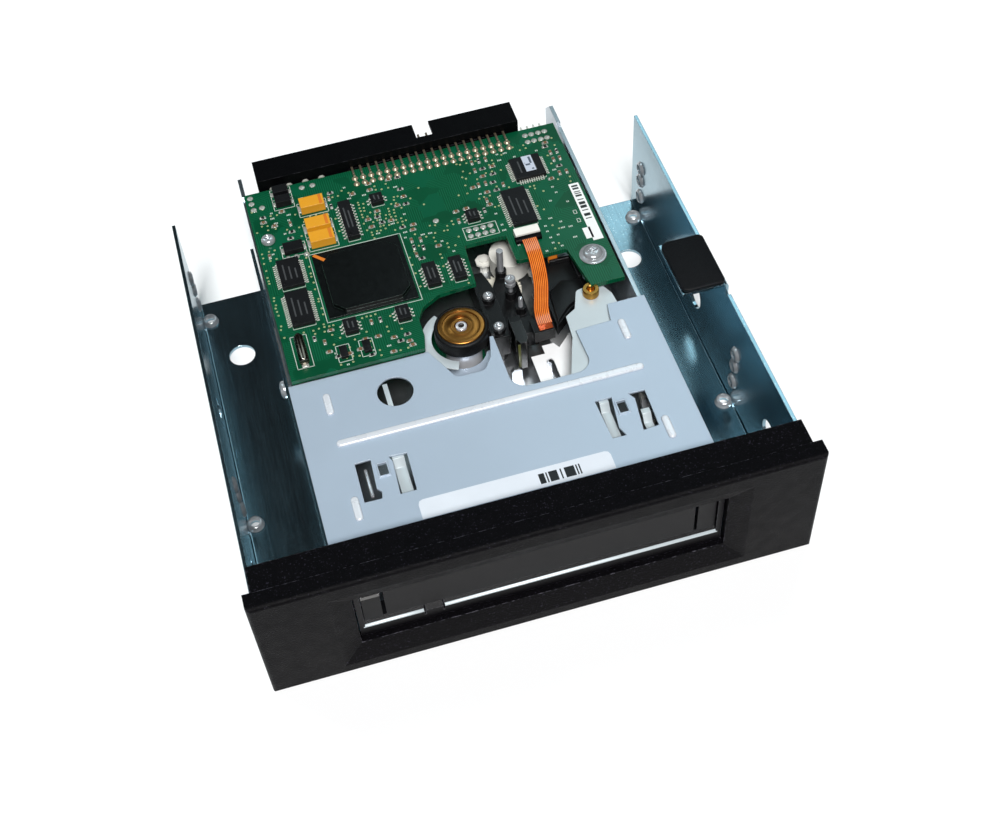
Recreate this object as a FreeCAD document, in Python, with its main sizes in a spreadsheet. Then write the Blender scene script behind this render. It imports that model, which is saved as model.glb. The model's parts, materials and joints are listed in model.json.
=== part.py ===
import FreeCAD, Part
import math
import os
import re

import Sketcher

# Internal data tape drive in a half-height adapter bracket with its own front bezel.
# Millimetres. X runs across the drive, Y from the bezel to the rear connectors, Z up.
# Every solid is placed from the bezel's front face (y = 0), and each finished piece is then
# moved back by half the overall depth, so that the origin lies under the middle of the drive.

# Driving sizes: one cell each in the document's sheet.
SIZES = {
    "overall_depth": 160.0,
    "grid": 1.0,                    # step of the layout that plain numbers are counted in
    "slip": 0.1,                    # gap between pieces that are fitted together
    "running_gap": 0.05,            # radial gap of a pin that turns in its hole
    # front bezel
    "bezel_overhang": 1.5,
    "bezel_high": 42.3,
    "bezel_thick": 5.0,
    "bezel_round": 1.2,
    "slope_margin": 5.75,
    "mouth_margin": 0.35,
    "slope_bottom": 4.0,
    "slope_top": 37.0,
    "slope_depth": 1.8,
    "opening_bottom": 10.5,
    "opening_top": 32.0,
    "skirt_rear": 13.2,
    "skirt_inset": 0.5,
    "skirt_top": 41.2,
    "skirt_wall": 1.8,
    # adapter bracket, folded from one sheet
    "bracket_half_wide": 73.0,
    "bracket_front": 5.2,
    "bracket_short": 20.4,
    "bracket_high": 37.2,
    "bracket_sheet": 1.0,
    "bend_round": 1.5,
    "front_strip": 15.0,
    "rear_strip": 15.0,
    "flange_gap": 1.5,
    "flange_high": 20.0,
    "flange_front": 20.5,
    "tab_front": 63.5,
    "tab_rear": 83.0,
    "tab_reach": 13.5,
    "tab_top": 39.9,
    "notch_wide": 1.8,
    "notch_bottom": 35.9,
    "pad_thick": 1.1,
    "pad_inset": 0.8,
    "pad_round": 2.5,
    "access_round_rear": 5.0,
    "access_round_front": 4.25,
    "access_shift_rear": 0.8,
    "access_shift_front": 2.7,
    "access_drop": 2.0,
    "mount_pitch_deep": 79.24,
    "mount_back": 7.96,
    "mount_inset": 3.15,
    "mount_hole_round": 1.5,
    "collar_round": 2.1,
    "collar_high": 1.2,
    "side_hole_low": 10.0,
    "side_hole_middle": 17.0,
    "side_hole_high": 21.84,
    "floor_hole_round": 4.0,
    "floor_hole_inset": 10.4,
    "floor_hole_back": 24.6,
    # chassis of the drive itself
    "drive_bottom": 13.2,
    "chassis_half_wide": 50.8,
    "chassis_sheet": 1.2,
    "chassis_front": 6.0,
    "chassis_base_front": 9.3,
    "base_short": 8.0,
    "ear_long": 12.1,
    "ear_low": 20.0,
    "ear_high": 30.0,
    "ear_top": 34.0,
    "ear_taper": 4.0,
    "back_wall_back": 15.5,
    "back_wall_top": 27.0,
    "window_left": 25.5,
    "window_right": 35.4,
    "window_front": 58.0,
    "window_rear": 97.0,
    "side_screw_front": 24.8,
    "side_screw_rear": 84.8,
    "side_screw_high": 16.4,
    "side_screw_round": 1.4,
    "side_screw_head_round": 2.7,
    "side_screw_head": 1.6,
    # drive faceplate and its doors
    "face_front": 3.4,
    "face_inset": 1.9,
    "face_bottom": 10.9,
    "face_top": 33.4,
    "face_rear": 9.0,
    "lip_top": 16.0,
    "post_wide": 1.5,
    "bay_top": 32.1,
    "clip_left": 31.6,
    "clip_right": 26.6,
    "clip_slot": 0.4,
    "clip_bottom": 13.0,
    "wing_rear": 15.0,
    "hinge_depth": 4.6,
    "hinge_high": 31.05,
    "hinge_rod_round": 0.4,
    "barrel_round": 0.8,
    "lug_wide": 0.6,
    "flap_wide": 4.9,
    "flap_thick": 1.1,
    "door_bottom": 17.3,
    "door_front": 3.9,
    "door_thick": 1.4,
    "flap_front": 4.2,
    "spring_gap_inset": 7.3,
    "spring_gap_wide": 3.2,
    "door_spring_wire": 0.12,
    "light_bottom": 28.3,
    "light_high": 1.3,
    "light_thick": 0.9,
    # top cover
    "cover_top": 33.5,
    "cover_sheet": 0.6,
    "cover_margin": 0.65,
    "cover_front": 17.5,
    "cover_rear": 71.3,
    "cover_skirt": 6.0,
    "bead_half_long": 42.5,
    "bead_place": 48.0,
    "bead_half_wide": 0.9,
    "bead_high": 0.7,
    "boss_place": 42.1,
    "spy_hole_round": 5.0,
    # mechanism deck and loading plate
    "deck_sheet": 1.5,
    "deck_inset": 2.2,
    "deck_past_screw": 13.7,
    "plate_top": 32.1,
    "plate_sheet": 0.8,
    # circuit board
    "board_top": 35.0,
    "board_thick": 1.5,
    "board_left_inset": 0.6,
    "board_right_inset": 2.6,
    "board_back": 12.7,
    "board_front": 71.6,
    "board_step": 79.2,
    "board_screw_round": 1.35,
    "post_round": 2.6,
    # capstan
    "capstan_x": -1.0,
    "capstan_y": 75.2,
    "capstan_top": 36.5,
    "capstan_low": 31.4,
    "hub_round": 6.7,
    "tyre_round": 7.7,
    "rotor_round": 5.2,
    "rotor_wall": 0.8,
    "rotor_top": 31.2,
    "rotor_low": 21.0,
    "capstan_shaft_round": 1.0,
    "motor_foot_round": 8.5,
    "motor_board_low": 19.05,
    "motor_board_thick": 1.2,
    # head positioner
    "screw_x": 17.2,
    "screw_y": 100.3,
    "screw_round": 1.0,
    "screw_top": 35.0,
    "gear_module": 0.4,
    "screw_teeth": 28.0,
    "pinion_teeth": 12.0,
    "gear_low": 16.9,
    "gear_thick": 1.8,
    "gear_backlash": 0.12,
    "gear_turn": 56.7,
    "stepper_round": 5.9,
    "stepper_ear_reach": 8.2,
    "stepper_low": 19.6,
    "stepper_top": 26.0,
    "pin_x": 17.6,
    "pin_y": 91.0,
    "pin_round": 0.7,
    "pin_collar_round": 1.6,
    "pin_collar_low": 30.0,
    "pin_top": 33.0,
    "second_pin_x": 18.7,
    "second_pin_y": 84.5,
    "carriage_low": 21.5,
    "carriage_thick": 3.2,
    "carriage_left": 13.3,
    "carriage_right": 20.9,
    "block_left": 19.0,
    "block_right": 25.0,
    "block_front": 71.5,
    "block_low": 25.5,
    "block_top": 29.4,
    "head_low": 18.6,
    "head_top": 30.0,
    "head_left": 13.4,
    "head_right": 16.7,
    "head_front": 69.0,
    "head_rear": 77.0,
    "base_top": 29.6,
    "base_low": 19.2,
    "base_left": 7.3,
    "base_right": 12.9,
    "base_front": 75.0,
    "base_rear": 100.8,
    "flex_wide": 4.3,
    "flex_thick": 0.3,
    "brass_x": 37.8,
    "brass_y": 78.4,
    "brass_round": 2.1,
    "brass_top": 33.3,
    "housing_top": 30.0,
    "housing_low": 26.0,
    # cartridge latches
    "latch_pivot_x": 45.6,
    "latch_pivot_y": 62.0,
    "latch_roller_x": 42.2,
    "latch_roller_y": 40.0,
    "latch_pin_round": 1.2,
    "latch_low": 19.5,
    "latch_thick": 3.0,
    "roller_round": 2.5,
    "roller_thick": 4.0,
    "roller_pin_round": 0.8,
    "spring_wire": 0.25,
    "spring_round": 1.85,
    "spring_pitch": 0.7,
    "spring_turns": 2.0,
    # rear connector
    "shell_left": 45.3,
    "shell_right": 37.1,
    "shell_front_back": 12.0,
    "shell_rear_back": 2.8,
    "shell_floor_back": 9.0,
    "shell_low": 29.75,
    "shell_top": 38.6,
    "shell_wall": 1.2,
    "header_x": 8.0,
    "pin_pitch": 2.54,
    "pin_columns": 20.0,
    "pin_side": 0.64,
    "pin_row_high": 35.47,
    "pin_row_low": 32.93,
    "pin_tip_back": 4.6,
    "tail_back": 15.3,
    "jumper_tip_back": 8.5,
    "key_left": 5.5,
    "key_right": 10.7,
    "power_x": -33.4,
    "power_pitch": 5.08,
    "power_pin_round": 1.05,
    "power_cavity_left": 44.0,
    "power_cavity_right": 22.8,
    "jumper_x": 38.8,
    "jumper_pitch": 2.0,
    "jumper_pin_side": 0.5,
}

# Sizes that follow from the driving ones.
RULES = {
    "half_depth": "overall_depth / 2",
    "bezel_wide": "2 * (bracket_half_wide + bezel_overhang)",
    "skirt_half_wide": "bracket_half_wide - skirt_inset",
    "bracket_inner": "bracket_half_wide - bracket_sheet",
    "bracket_rear": "overall_depth - bracket_short",
    "tab_inner": "bracket_half_wide - tab_reach",
    "mount_rear": "bracket_rear - mount_back",
    "mount_front": "mount_rear - mount_pitch_deep",
    "mount_half": "bracket_half_wide - mount_inset",
    "floor_hole_half_pitch": "bracket_half_wide - floor_hole_inset",
    "floor_hole_depth": "bracket_rear - floor_hole_back",
    "floor_top": "bracket_sheet",
    "flange_half_wide": "chassis_half_wide + flange_gap",
    "flange_inner": "flange_half_wide - bracket_sheet",
    "base_top_face": "drive_bottom + chassis_sheet",
    "chassis_inner": "chassis_half_wide - chassis_sheet",
    "chassis_base_rear": "overall_depth - base_short",
    "ear_front": "overall_depth - ear_long",
    "back_wall_place": "overall_depth - back_wall_back",
    "face_half_wide": "chassis_half_wide - face_inset",
    "opening_half_wide": "face_half_wide + mouth_margin",
    "slope_half_wide": "opening_half_wide + slope_margin",
    "cover_low": "cover_top - cover_sheet",
    "cover_half_wide": "chassis_half_wide + cover_margin",
    "wall_top": "cover_low - slip",
    "deck_low": "base_top_face + slip / 2",
    "deck_top": "deck_low + deck_sheet",
    "deck_half_wide": "chassis_half_wide - deck_inset",
    "deck_rear": "screw_y + deck_past_screw",
    "plate_low": "plate_top - plate_sheet",
    "board_low": "board_top - board_thick",
    "board_left": "chassis_half_wide - board_left_inset",
    "board_right": "chassis_half_wide - board_right_inset",
    "board_rear": "overall_depth - board_back",
    "board_step_along": "(board_rear - board_front) / 75.7",
    "flap_outer": "face_half_wide - post_wide - 2 * slip",
    "flap_inner": "flap_outer - flap_wide",
    "door_ends": "flap_inner - lug_wide - 2 * slip",
    "door_half_wide": "door_ends - 2 * slip",
    "spring_gap_left": "door_half_wide - spring_gap_inset",
    "gear_distance": "gear_module * (screw_teeth + pinion_teeth) / 2",
    "stepper_x": "screw_x + gear_distance * cos(gear_turn)",
    "stepper_y": "screw_y + gear_distance * sin(gear_turn)",
    "shell_front": "overall_depth - shell_front_back",
    "shell_rear": "overall_depth - shell_rear_back",
    "shell_floor": "overall_depth - shell_floor_back",
    "pin_tip": "overall_depth - pin_tip_back",
    "tail_front": "overall_depth - tail_back",
    "jumper_tip": "overall_depth - jumper_tip_back",
}

doc = FreeCAD.newDocument("tape_drive")
sheet = doc.addObject("Spreadsheet::Sheet", "sizes")
for row, (word, number) in enumerate(SIZES.items(), start=1):
    sheet.set("A%d" % row, str(number))
    sheet.setAlias("A%d" % row, word)
for row, (word, rule) in enumerate(RULES.items(), start=1):
    sheet.set("B%d" % row, "=" + rule)
    sheet.setAlias("B%d" % row, word)
doc.recompute()

NODES = []
BOARD_FRONT_STEP = 71.6     # where the board's front edge lies, in layout steps from the bezel


# ---------------------------------------------------------------- helpers

def expression(text):
    """Write each size name as its cell, and a plain number as steps of the layout grid."""
    if re.fullmatch(r"-?[0-9.]+", str(text)) and float(text) != 0:
        return "(%s) * sizes.grid" % text

    def cell(match):
        word = match.group(0)
        return "sizes." + word if word in SIZES or word in RULES else word
    return re.sub(r"[a-z][a-z_]*", cell, str(text))


def bind(thing, prop, text):
    thing.setExpression(prop, expression(text))


def place(node, label, x="0", y="0", z="0"):
    """Name a finished piece and move it from the bezel's face to the model's origin."""
    node.Label = label
    bind(node, ".Placement.Base.x", x)
    bind(node, ".Placement.Base.y", "(%s) - half_depth" % y)
    bind(node, ".Placement.Base.z", z)
    NODES.append(node)
    return node


def body(label, x="0", y="0", z="0"):
    return place(doc.addObject("PartDesign::Body", "Body"), label, x, y, z)


def origin_plane(owner, name):
    planes = [f for f in owner.Origin.OriginFeatures if f.Role == name + "_Plane"]
    return planes[0]


def sketch(owner, plane, start, outlines=(), circles=()):
    """A sketch on one of the body's own planes, moved to start along the plane's axis."""
    drawing = owner.newObject("Sketcher::SketchObject", "Sketch")
    drawing.AttachmentSupport = [(origin_plane(owner, plane), "")]
    drawing.MapMode = "FlatFace"
    sign = "-" if plane == "XZ" else ""
    bind(drawing, "AttachmentOffset.Base.z", "%s(%s)" % (sign, start))
    for points in outlines:
        add_outline(drawing, points)
    for u, v, radius in circles:
        add_circle(drawing, u, v, radius)
    return drawing


def add_outline(drawing, points):
    first = drawing.GeometryCount
    count = len(points)
    turn = 2 * math.pi / count
    ring = [FreeCAD.Vector(10 * math.cos(turn * i), 10 * math.sin(turn * i), 0) for i in range(count)]
    for i in range(count):
        drawing.addGeometry(Part.LineSegment(ring[i], ring[(i + 1) % count]), False)
    for i in range(count):
        following = first + (i + 1) % count
        drawing.addConstraint(Sketcher.Constraint("Coincident", first + i, 2, following, 1))
    for i, (u, v) in enumerate(points):
        fix_point(drawing, first + i, 1, u, v)


def add_circle(drawing, u, v, radius):
    middle = FreeCAD.Vector(0, 0, 0)
    index = drawing.addGeometry(Part.Circle(middle, FreeCAD.Vector(0, 0, 1), 1.0), False)
    fix_point(drawing, index, 3, u, v)
    size = drawing.addConstraint(Sketcher.Constraint("Radius", index, 1.0))
    bind(drawing, "Constraints[%d]" % size, radius)


def fix_point(drawing, index, end, u, v):
    across = drawing.addConstraint(Sketcher.Constraint("DistanceX", -1, 1, index, end, 1.0))
    bind(drawing, "Constraints[%d]" % across, u)
    along = drawing.addConstraint(Sketcher.Constraint("DistanceY", -1, 1, index, end, 1.0))
    bind(drawing, "Constraints[%d]" % along, v)


def pad(owner, plane, start, length, outlines=(), circles=(), rounds=()):
    """Add material from start to start + length. rounds: (radius, corners of the outlines)."""
    drawing = sketch(owner, plane, start, outlines, circles)
    feature = owner.newObject("PartDesign::Pad", "Pad")
    feature.Profile = drawing
    feature.Reversed = plane == "XZ"
    bind(feature, "Length", length)
    for radius, corners in rounds:
        round_corners(owner, drawing, corners, radius)
    return feature


def cut(owner, plane, start, length, outlines=(), circles=(), rounds=()):
    """Remove material from start to start + length."""
    doc.recompute()
    before = owner.Shape.Volume
    drawing = sketch(owner, plane, start, outlines, circles)
    feature = owner.newObject("PartDesign::Pocket", "Pocket")
    feature.Profile = drawing
    feature.Reversed = plane != "XZ"
    bind(feature, "Length", length)
    doc.recompute()
    if owner.Shape.Volume > before - 1e-6:
        raise RuntimeError("a pocket of %s cuts nothing" % owner.Label)
    for radius, corners in rounds:
        round_corners(owner, drawing, corners, radius)
    return feature


def round_corners(owner, drawing, corners, radius):
    """Fillet the edges that stand on the given corners of a sketch."""
    doc.recompute()
    along = drawing.Placement.Rotation.multVec(FreeCAD.Vector(0, 0, 1))
    spots = [drawing.Placement.multVec(drawing.Geometry[i].StartPoint) for i in corners]

    def wanted(edge):
        if len(edge.Vertexes) != 2:
            return False
        one = edge.Vertexes[0].Point
        run = edge.Vertexes[1].Point.sub(one)
        if run.Length < 1e-6 or run.cross(along).Length > 1e-6 * run.Length:
            return False
        return any(spot.sub(one).cross(along).Length < 1e-4 for spot in spots)

    fillet(owner, radius, wanted)


def fillet(owner, radius, wanted):
    doc.recompute()
    base = owner.Tip
    edges = ["Edge%d" % (i + 1) for i, edge in enumerate(base.Shape.Edges) if wanted(edge)]
    if not edges:
        raise RuntimeError("no edge to round on %s" % owner.Label)
    feature = owner.newObject("PartDesign::Fillet", "Fillet")
    feature.Base = (base, edges)
    bind(feature, "Radius", radius)


def turned(owner, profile):
    """Revolve a profile of (radius, height) points about the body's own Z axis."""
    drawing = sketch(owner, "XZ", "0", [profile])
    feature = owner.newObject("PartDesign::Revolution", "Revolution")
    feature.Profile = drawing
    feature.ReferenceAxis = (drawing, ["V_Axis"])
    feature.Angle = 360.0
    return feature


def rectangle(left, right, low, high):
    return [(left, low), (right, low), (right, high), (left, high)]


def both_sides(outline):
    """An outline and its mirror image across the middle plane, wound the same way."""
    mirrored = [("-(%s)" % u, v) for u, v in reversed(outline)]
    return [outline, mirrored]


def ring(u, v, radius, sides=12):
    """A regular outline with the given number of sides, for a small round shape."""
    points = []
    for side in range(sides):
        angle = 2 * math.pi * (side + 0.5) / sides
        points.append(("%s + (%s) * %.5f" % (u, radius, math.cos(angle)),
                       "%s + (%s) * %.5f" % (v, radius, math.sin(angle))))
    return points


def block(x, y, z, wide, deep, high):
    """A plain box from its lowest corner, for a group."""
    item = doc.addObject("Part::Box", "Block")
    for prop, text in (("Length", wide), ("Width", deep), ("Height", high)):
        bind(item, prop, text)
    for prop, text in (("x", x), ("y", y), ("z", z)):
        bind(item, "Placement.Base." + prop, text)
    return item


TURN_TO = {
    "X": FreeCAD.Rotation(FreeCAD.Vector(0, 1, 0), 90),
    "Y": FreeCAD.Rotation(FreeCAD.Vector(1, 0, 0), -90),
    "Z": FreeCAD.Rotation(),
}


def rod(x, y, z, radius, length, along="Z", sides=0):
    """A cylinder, or a bar with the given number of sides, from the middle of its first end."""
    item = doc.addObject("Part::Prism" if sides else "Part::Cylinder", "Rod")
    if sides:
        item.Polygon = sides
    item.Placement = FreeCAD.Placement(FreeCAD.Vector(), TURN_TO[along])
    bind(item, "Circumradius" if sides else "Radius", radius)
    bind(item, "Height", length)
    for prop, text in (("x", x), ("y", y), ("z", z)):
        bind(item, "Placement.Base." + prop, text)
    return item


def fused(items):
    union = doc.addObject("Part::MultiFuse", "Union")
    union.Shapes = items
    return union


def group(label, items):
    """Like pieces of one kind in one node, each its own solid."""
    members = doc.addObject("Part::Compound", "Group")
    members.Links = items
    return place(members, label)


def along_board(y):
    """A place along the board, counted from its front edge, that follows the board's length."""
    return "board_front + board_step_along * %s" % (y - BOARD_FRONT_STEP)


def chip(x_left, x_right, y_front, y_rear, high, z="board_top + 1.5 * slip"):
    """A package on the board: its edges in layout steps, and its height above the board."""
    deep = "board_step_along * %.4f" % (y_rear - y_front)
    return block("grid * %s" % x_left, along_board(y_front), z,
                 "grid * %.4f" % (x_right - x_left), deep, high)


# ---------------------------------------------------------------- front bezel

def front_bezel():
    """A plate with a sloped picture frame round its opening, and a skirt over the bracket."""
    bezel = body("front_bezel")
    outline = rectangle("-bezel_wide / 2", "bezel_wide / 2", "0", "bezel_high")
    pad(bezel, "XZ", "0", "bezel_thick", [outline])
    doc.recompute()

    def front_edge(edge):
        ends = [vertex.Point.y for vertex in edge.Vertexes]
        return max(ends) < 1e-6

    fillet(bezel, "bezel_round", front_edge)
    frame = rectangle("-(slope_half_wide)", "slope_half_wide", "slope_bottom", "slope_top")
    mouth = rectangle("-(opening_half_wide)", "opening_half_wide", "opening_bottom", "opening_top")
    outer = sketch(bezel, "XZ", "0", [frame])
    inner = sketch(bezel, "XZ", "slope_depth", [mouth])
    slope = bezel.newObject("PartDesign::SubtractiveLoft", "Slope")
    slope.Profile = outer
    slope.Sections = [inner]
    slope.Ruled = True
    cut(bezel, "XZ", "slope_depth - slip", "bezel_thick", [mouth])
    shelf = rectangle("-(skirt_half_wide)", "skirt_half_wide", "skirt_top - skirt_wall", "skirt_top")
    pad(bezel, "XZ", "bezel_thick - slip", "skirt_rear - bezel_thick + slip", [shelf])
    rib_outer = "bracket_inner - 2 * slip"
    rib = rectangle("%s - skirt_wall" % rib_outer, rib_outer, "bracket_sheet + 3 * slip",
                    "skirt_top - skirt_wall / 2")
    pad(bezel, "XZ", "bezel_thick - slip", "skirt_rear - bezel_thick + slip", both_sides(rib))
    return bezel


# ---------------------------------------------------------------- adapter bracket

def adapter_bracket():
    """Floor, side walls, two inner flanges lanced from the floor, and a tab over one wall."""
    bracket = body("adapter_bracket")
    depth = "bracket_rear - bracket_front"
    section = [("-(bracket_half_wide)", "0"), ("bracket_half_wide", "0"),
               ("bracket_half_wide", "bracket_high"), ("bracket_inner", "bracket_high"),
               ("bracket_inner", "floor_top"), ("-(bracket_inner)", "floor_top"),
               ("-(bracket_inner)", "bracket_high"), ("-(bracket_half_wide)", "bracket_high")]
    pad(bracket, "XZ", "bracket_front", depth, [section],
        rounds=[("bend_round", (0, 1)), ("bend_round - bracket_sheet", (4, 5))])
    opening = rectangle("-(flange_inner)", "flange_inner", "bracket_front + front_strip",
                        "bracket_rear - rear_strip")
    cut(bracket, "XY", "-slip", "bracket_sheet + 2 * slip", [opening], rounds=[("2", (0, 1, 2, 3))])
    flange = rectangle("flange_inner", "flange_half_wide", "0", "flange_high")
    pad(bracket, "XZ", "flange_front", "bracket_rear - flange_front", both_sides(flange))
    tab = [("bracket_inner", "bracket_high - 1"), ("bracket_half_wide", "bracket_high - 1"),
           ("bracket_half_wide", "tab_top"), ("tab_inner", "tab_top"),
           ("tab_inner", "tab_top - bracket_sheet"), ("bracket_inner", "tab_top - bracket_sheet")]
    pad(bracket, "XZ", "tab_front", "tab_rear - tab_front", [tab],
        rounds=[("bend_round", (2,)), ("bend_round - bracket_sheet", (5,))])
    notches = [rectangle("tab_front - notch_wide", "tab_front", "notch_bottom", "tab_top"),
               rectangle("tab_rear", "tab_rear + notch_wide", "notch_bottom", "tab_top")]
    cut(bracket, "YZ", "bracket_inner - 1", "bracket_sheet + 2", notches)
    bracket_mount_holes(bracket)
    bracket_wall_holes(bracket)
    floor_holes = [ring(side + "floor_hole_half_pitch", "floor_hole_depth", "floor_hole_round", 24)
                   for side in ("", "-")]
    cut(bracket, "XY", "-slip", "bracket_sheet + 2 * slip", floor_holes)
    return bracket


def bracket_mount_holes(bracket):
    """Four threaded collars in the floor, and three pairs of holes in each wall."""
    rows = ("mount_front", "mount_rear")
    spots = [(side + "mount_half", row) for row in rows for side in ("", "-")]
    pad(bracket, "XY", "floor_top - slip", "collar_high + slip",
        [ring(u, v, "collar_round") for u, v in spots])
    holes = [(u, v, "mount_hole_round") for u, v in spots]
    cut(bracket, "XY", "-slip", "floor_top + collar_high + 2 * slip", (), holes)
    bolts = [(row, height, "mount_hole_round") for row in rows
             for height in ("side_hole_low", "side_hole_high")]
    rails = [ring(row, "side_hole_middle", "mount_hole_round") for row in rows]
    for start in ("-(bracket_half_wide) - slip", "bracket_inner - slip"):
        cut(bracket, "YZ", start, "bracket_sheet + 2 * slip", rails, bolts)


def bracket_wall_holes(bracket):
    """Round openings through which a driver reaches the screws of the drive."""
    openings = [ring("side_screw_rear - access_shift_rear", "side_screw_high - access_drop",
                     "access_round_rear", 24),
                ring("side_screw_front + access_shift_front", "side_screw_high",
                     "access_round_front", 24)]
    for start in ("-(bracket_half_wide) - slip", "bracket_inner - slip"):
        cut(bracket, "YZ", start, "bracket_sheet + 2 * slip", openings)
    screws = [ring(row, "side_screw_high", "side_screw_round + 4 * slip", 8)
              for row in ("side_screw_front", "side_screw_rear")]
    for start in ("-(flange_half_wide) - slip", "flange_inner - slip"):
        cut(bracket, "YZ", start, "bracket_sheet + 2 * slip", screws)


def foam_pad():
    """A soft pad glued on the tab."""
    pad_body = body("foam_pad")
    outline = rectangle("tab_inner + pad_inset", "bracket_half_wide - bend_round",
                        "tab_front + pad_inset", "tab_rear - pad_inset / 2")
    pad(pad_body, "XY", "tab_top", "pad_thick", [outline], rounds=[("pad_round", (0,))])


# ---------------------------------------------------------------- chassis and screws

def window_outline():
    return rectangle("window_left", "window_right", "window_front", "window_rear")


def drive_chassis():
    """Base and side walls folded from one sheet, with tapered ears past the connector."""
    chassis = body("drive_chassis")
    floor = rectangle("-chassis_half_wide", "chassis_half_wide", "chassis_base_front",
                      "chassis_base_rear")
    pad(chassis, "XY", "drive_bottom", "chassis_sheet", [floor, window_outline()])
    side = [("chassis_front", "drive_bottom"), ("chassis_base_rear", "drive_bottom"),
            ("overall_depth", "ear_low"), ("overall_depth", "ear_high"),
            ("overall_depth - ear_taper", "ear_top"), ("ear_front", "ear_top"),
            ("ear_front", "wall_top"), ("chassis_front", "wall_top")]
    for start in ("-chassis_half_wide", "chassis_inner"):
        pad(chassis, "YZ", start, "chassis_sheet", [side])
    wall = rectangle("-(chassis_inner)", "chassis_inner", "drive_bottom", "back_wall_top")
    pad(chassis, "XZ", "back_wall_place", "chassis_sheet", [wall])
    screws = [ring(row, "side_screw_high", "side_screw_round + 3 * slip", 8)
              for row in ("side_screw_front", "side_screw_rear")]
    for start in ("-chassis_half_wide - slip", "chassis_inner - slip"):
        cut(chassis, "YZ", start, "chassis_sheet + 2 * slip", screws)
    return chassis


def side_screws():
    """Four screws that hold the drive between the bracket's flanges."""
    screws = []
    shank = "flange_half_wide - chassis_inner + side_screw_head / 2"
    for row in ("side_screw_front", "side_screw_rear"):
        for head, tail in (("flange_half_wide + slip / 2", "chassis_inner"),
                           ("-(flange_half_wide) - slip / 2 - side_screw_head",
                            "-(flange_half_wide) - side_screw_head / 2")):
            screws.append(fused([
                rod(head, row, "side_screw_high", "side_screw_head_round", "side_screw_head",
                    "X", 8),
                rod(tail, row, "side_screw_high", "side_screw_round", shank, "X", 8)]))
    group("side_screws", screws)


# ---------------------------------------------------------------- faceplate and doors

def drive_faceplate():
    """Lip, posts and top bar round the cartridge slot, with lugs for the hinge rod."""
    face = body("drive_faceplate")
    inner = "face_half_wide - post_wide"
    step = "bezel_thick + 0.4"
    frame = [("-(face_half_wide)", "face_bottom"), ("face_half_wide", "face_bottom"),
             ("face_half_wide", "opening_top - 0.2"), (inner, "opening_top - 0.2"),
             (inner, "lip_top"), ("-(%s)" % inner, "lip_top"),
             ("-(%s)" % inner, "opening_top - 0.2"), ("-(face_half_wide)", "opening_top - 0.2")]
    pad(face, "XZ", "face_front", step + " - face_front", [frame])
    outer = rectangle("-(face_half_wide)", "face_half_wide", "face_bottom", "face_top")
    slot = rectangle("-(%s)" % inner, inner, "lip_top", "bay_top")
    pad(face, "XZ", step, "face_rear - (%s)" % step, [outer, slot])
    lug = [("hinge_depth - barrel_round", "hinge_high - barrel_round"),
           ("hinge_depth + barrel_round", "hinge_high - barrel_round"),
           ("face_rear - 1", "bay_top - 0.6"), ("face_rear - 1", "bay_top + 0.3"),
           (step, "bay_top + 0.3"), (step, "opening_top - 0.15"),
           ("hinge_depth - barrel_round", "opening_top - 0.15")]
    for start in ("door_ends", "-(door_ends) - lug_wide"):
        pad(face, "YZ", start, "lug_wide", [lug])
    wing = rectangle("face_rear - 1", "wing_rear", "base_top_face + 0.3", "hinge_high")
    for start in ("face_half_wide - 1", "-(face_half_wide)"):
        pad(face, "YZ", start, "1", [wing])
    slots = [rectangle("-%s - clip_slot / 2" % side, "-%s + clip_slot / 2" % side, "clip_bottom",
                       "lip_top + slip") for side in ("clip_left", "clip_right")]
    cut(face, "XZ", "face_front - slip", "1.4", slots)
    bevel = [("face_front - slip", "lip_top - 1.3"), ("face_front + 1.6", "lip_top + slip"),
             ("face_front - slip", "lip_top + slip")]
    cut(face, "YZ", "-(%s) - slip" % inner, "2 * (%s) + 2 * slip" % inner, [bevel])
    rod_hole = [ring("hinge_depth", "hinge_high", "hinge_rod_round + running_gap", 8)]
    cut(face, "YZ", "-(face_half_wide - 0.5)", "2 * (face_half_wide - 0.5)", rod_hole)
    return face


def door_hinge_rod():
    group("door_hinge_rod", [rod("-(face_half_wide - 0.6)", "hinge_depth", "hinge_high",
                                 "hinge_rod_round", "2 * (face_half_wide - 0.6)", "X", 8)])


def hung_panel(label, left, right, front, thick, bottom):
    """A panel that hangs from the hinge rod by a barrel along its top edge."""
    panel = body(label)
    side = [(front, bottom), ("(%s) + %s" % (front, thick), bottom),
            ("(%s) + %s" % (front, thick), "hinge_high"), (front, "hinge_high")]
    wide = "(%s) - (%s)" % (right, left)
    pad(panel, "YZ", left, wide, [side])
    pad(panel, "YZ", left, wide, (), [("hinge_depth", "hinge_high", "barrel_round")])
    bore = [("hinge_depth", "hinge_high", "hinge_rod_round + running_gap")]
    cut(panel, "YZ", "(%s) - slip" % left, wide + " + 2 * slip", (), bore)
    return panel


def doors():
    door = hung_panel("cartridge_door", "-(door_half_wide)", "door_half_wide", "door_front",
                      "door_thick", "door_bottom")
    gap = rectangle("-(spring_gap_left)", "-(spring_gap_left) + spring_gap_wide",
                    "hinge_high - barrel_round - slip", "hinge_high + barrel_round + slip")
    cut(door, "XZ", "door_front - slip", "2 * door_thick", [gap])
    for label, left, right in (("right_side_flap", "flap_inner", "flap_outer"),
                               ("left_side_flap", "-(flap_outer)", "-(flap_inner)")):
        hung_panel(label, left, right, "flap_front", "flap_thick", "lip_top + 0.6")


def activity_light():
    light = body("activity_light")
    bar = rectangle("-(flap_outer)", "-(flap_inner)", "light_bottom", "light_bottom + light_high")
    pad(light, "XZ", "flap_front - light_thick - 2 * slip", "light_thick", [bar])


STEPS_PER_TURN = 8


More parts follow.
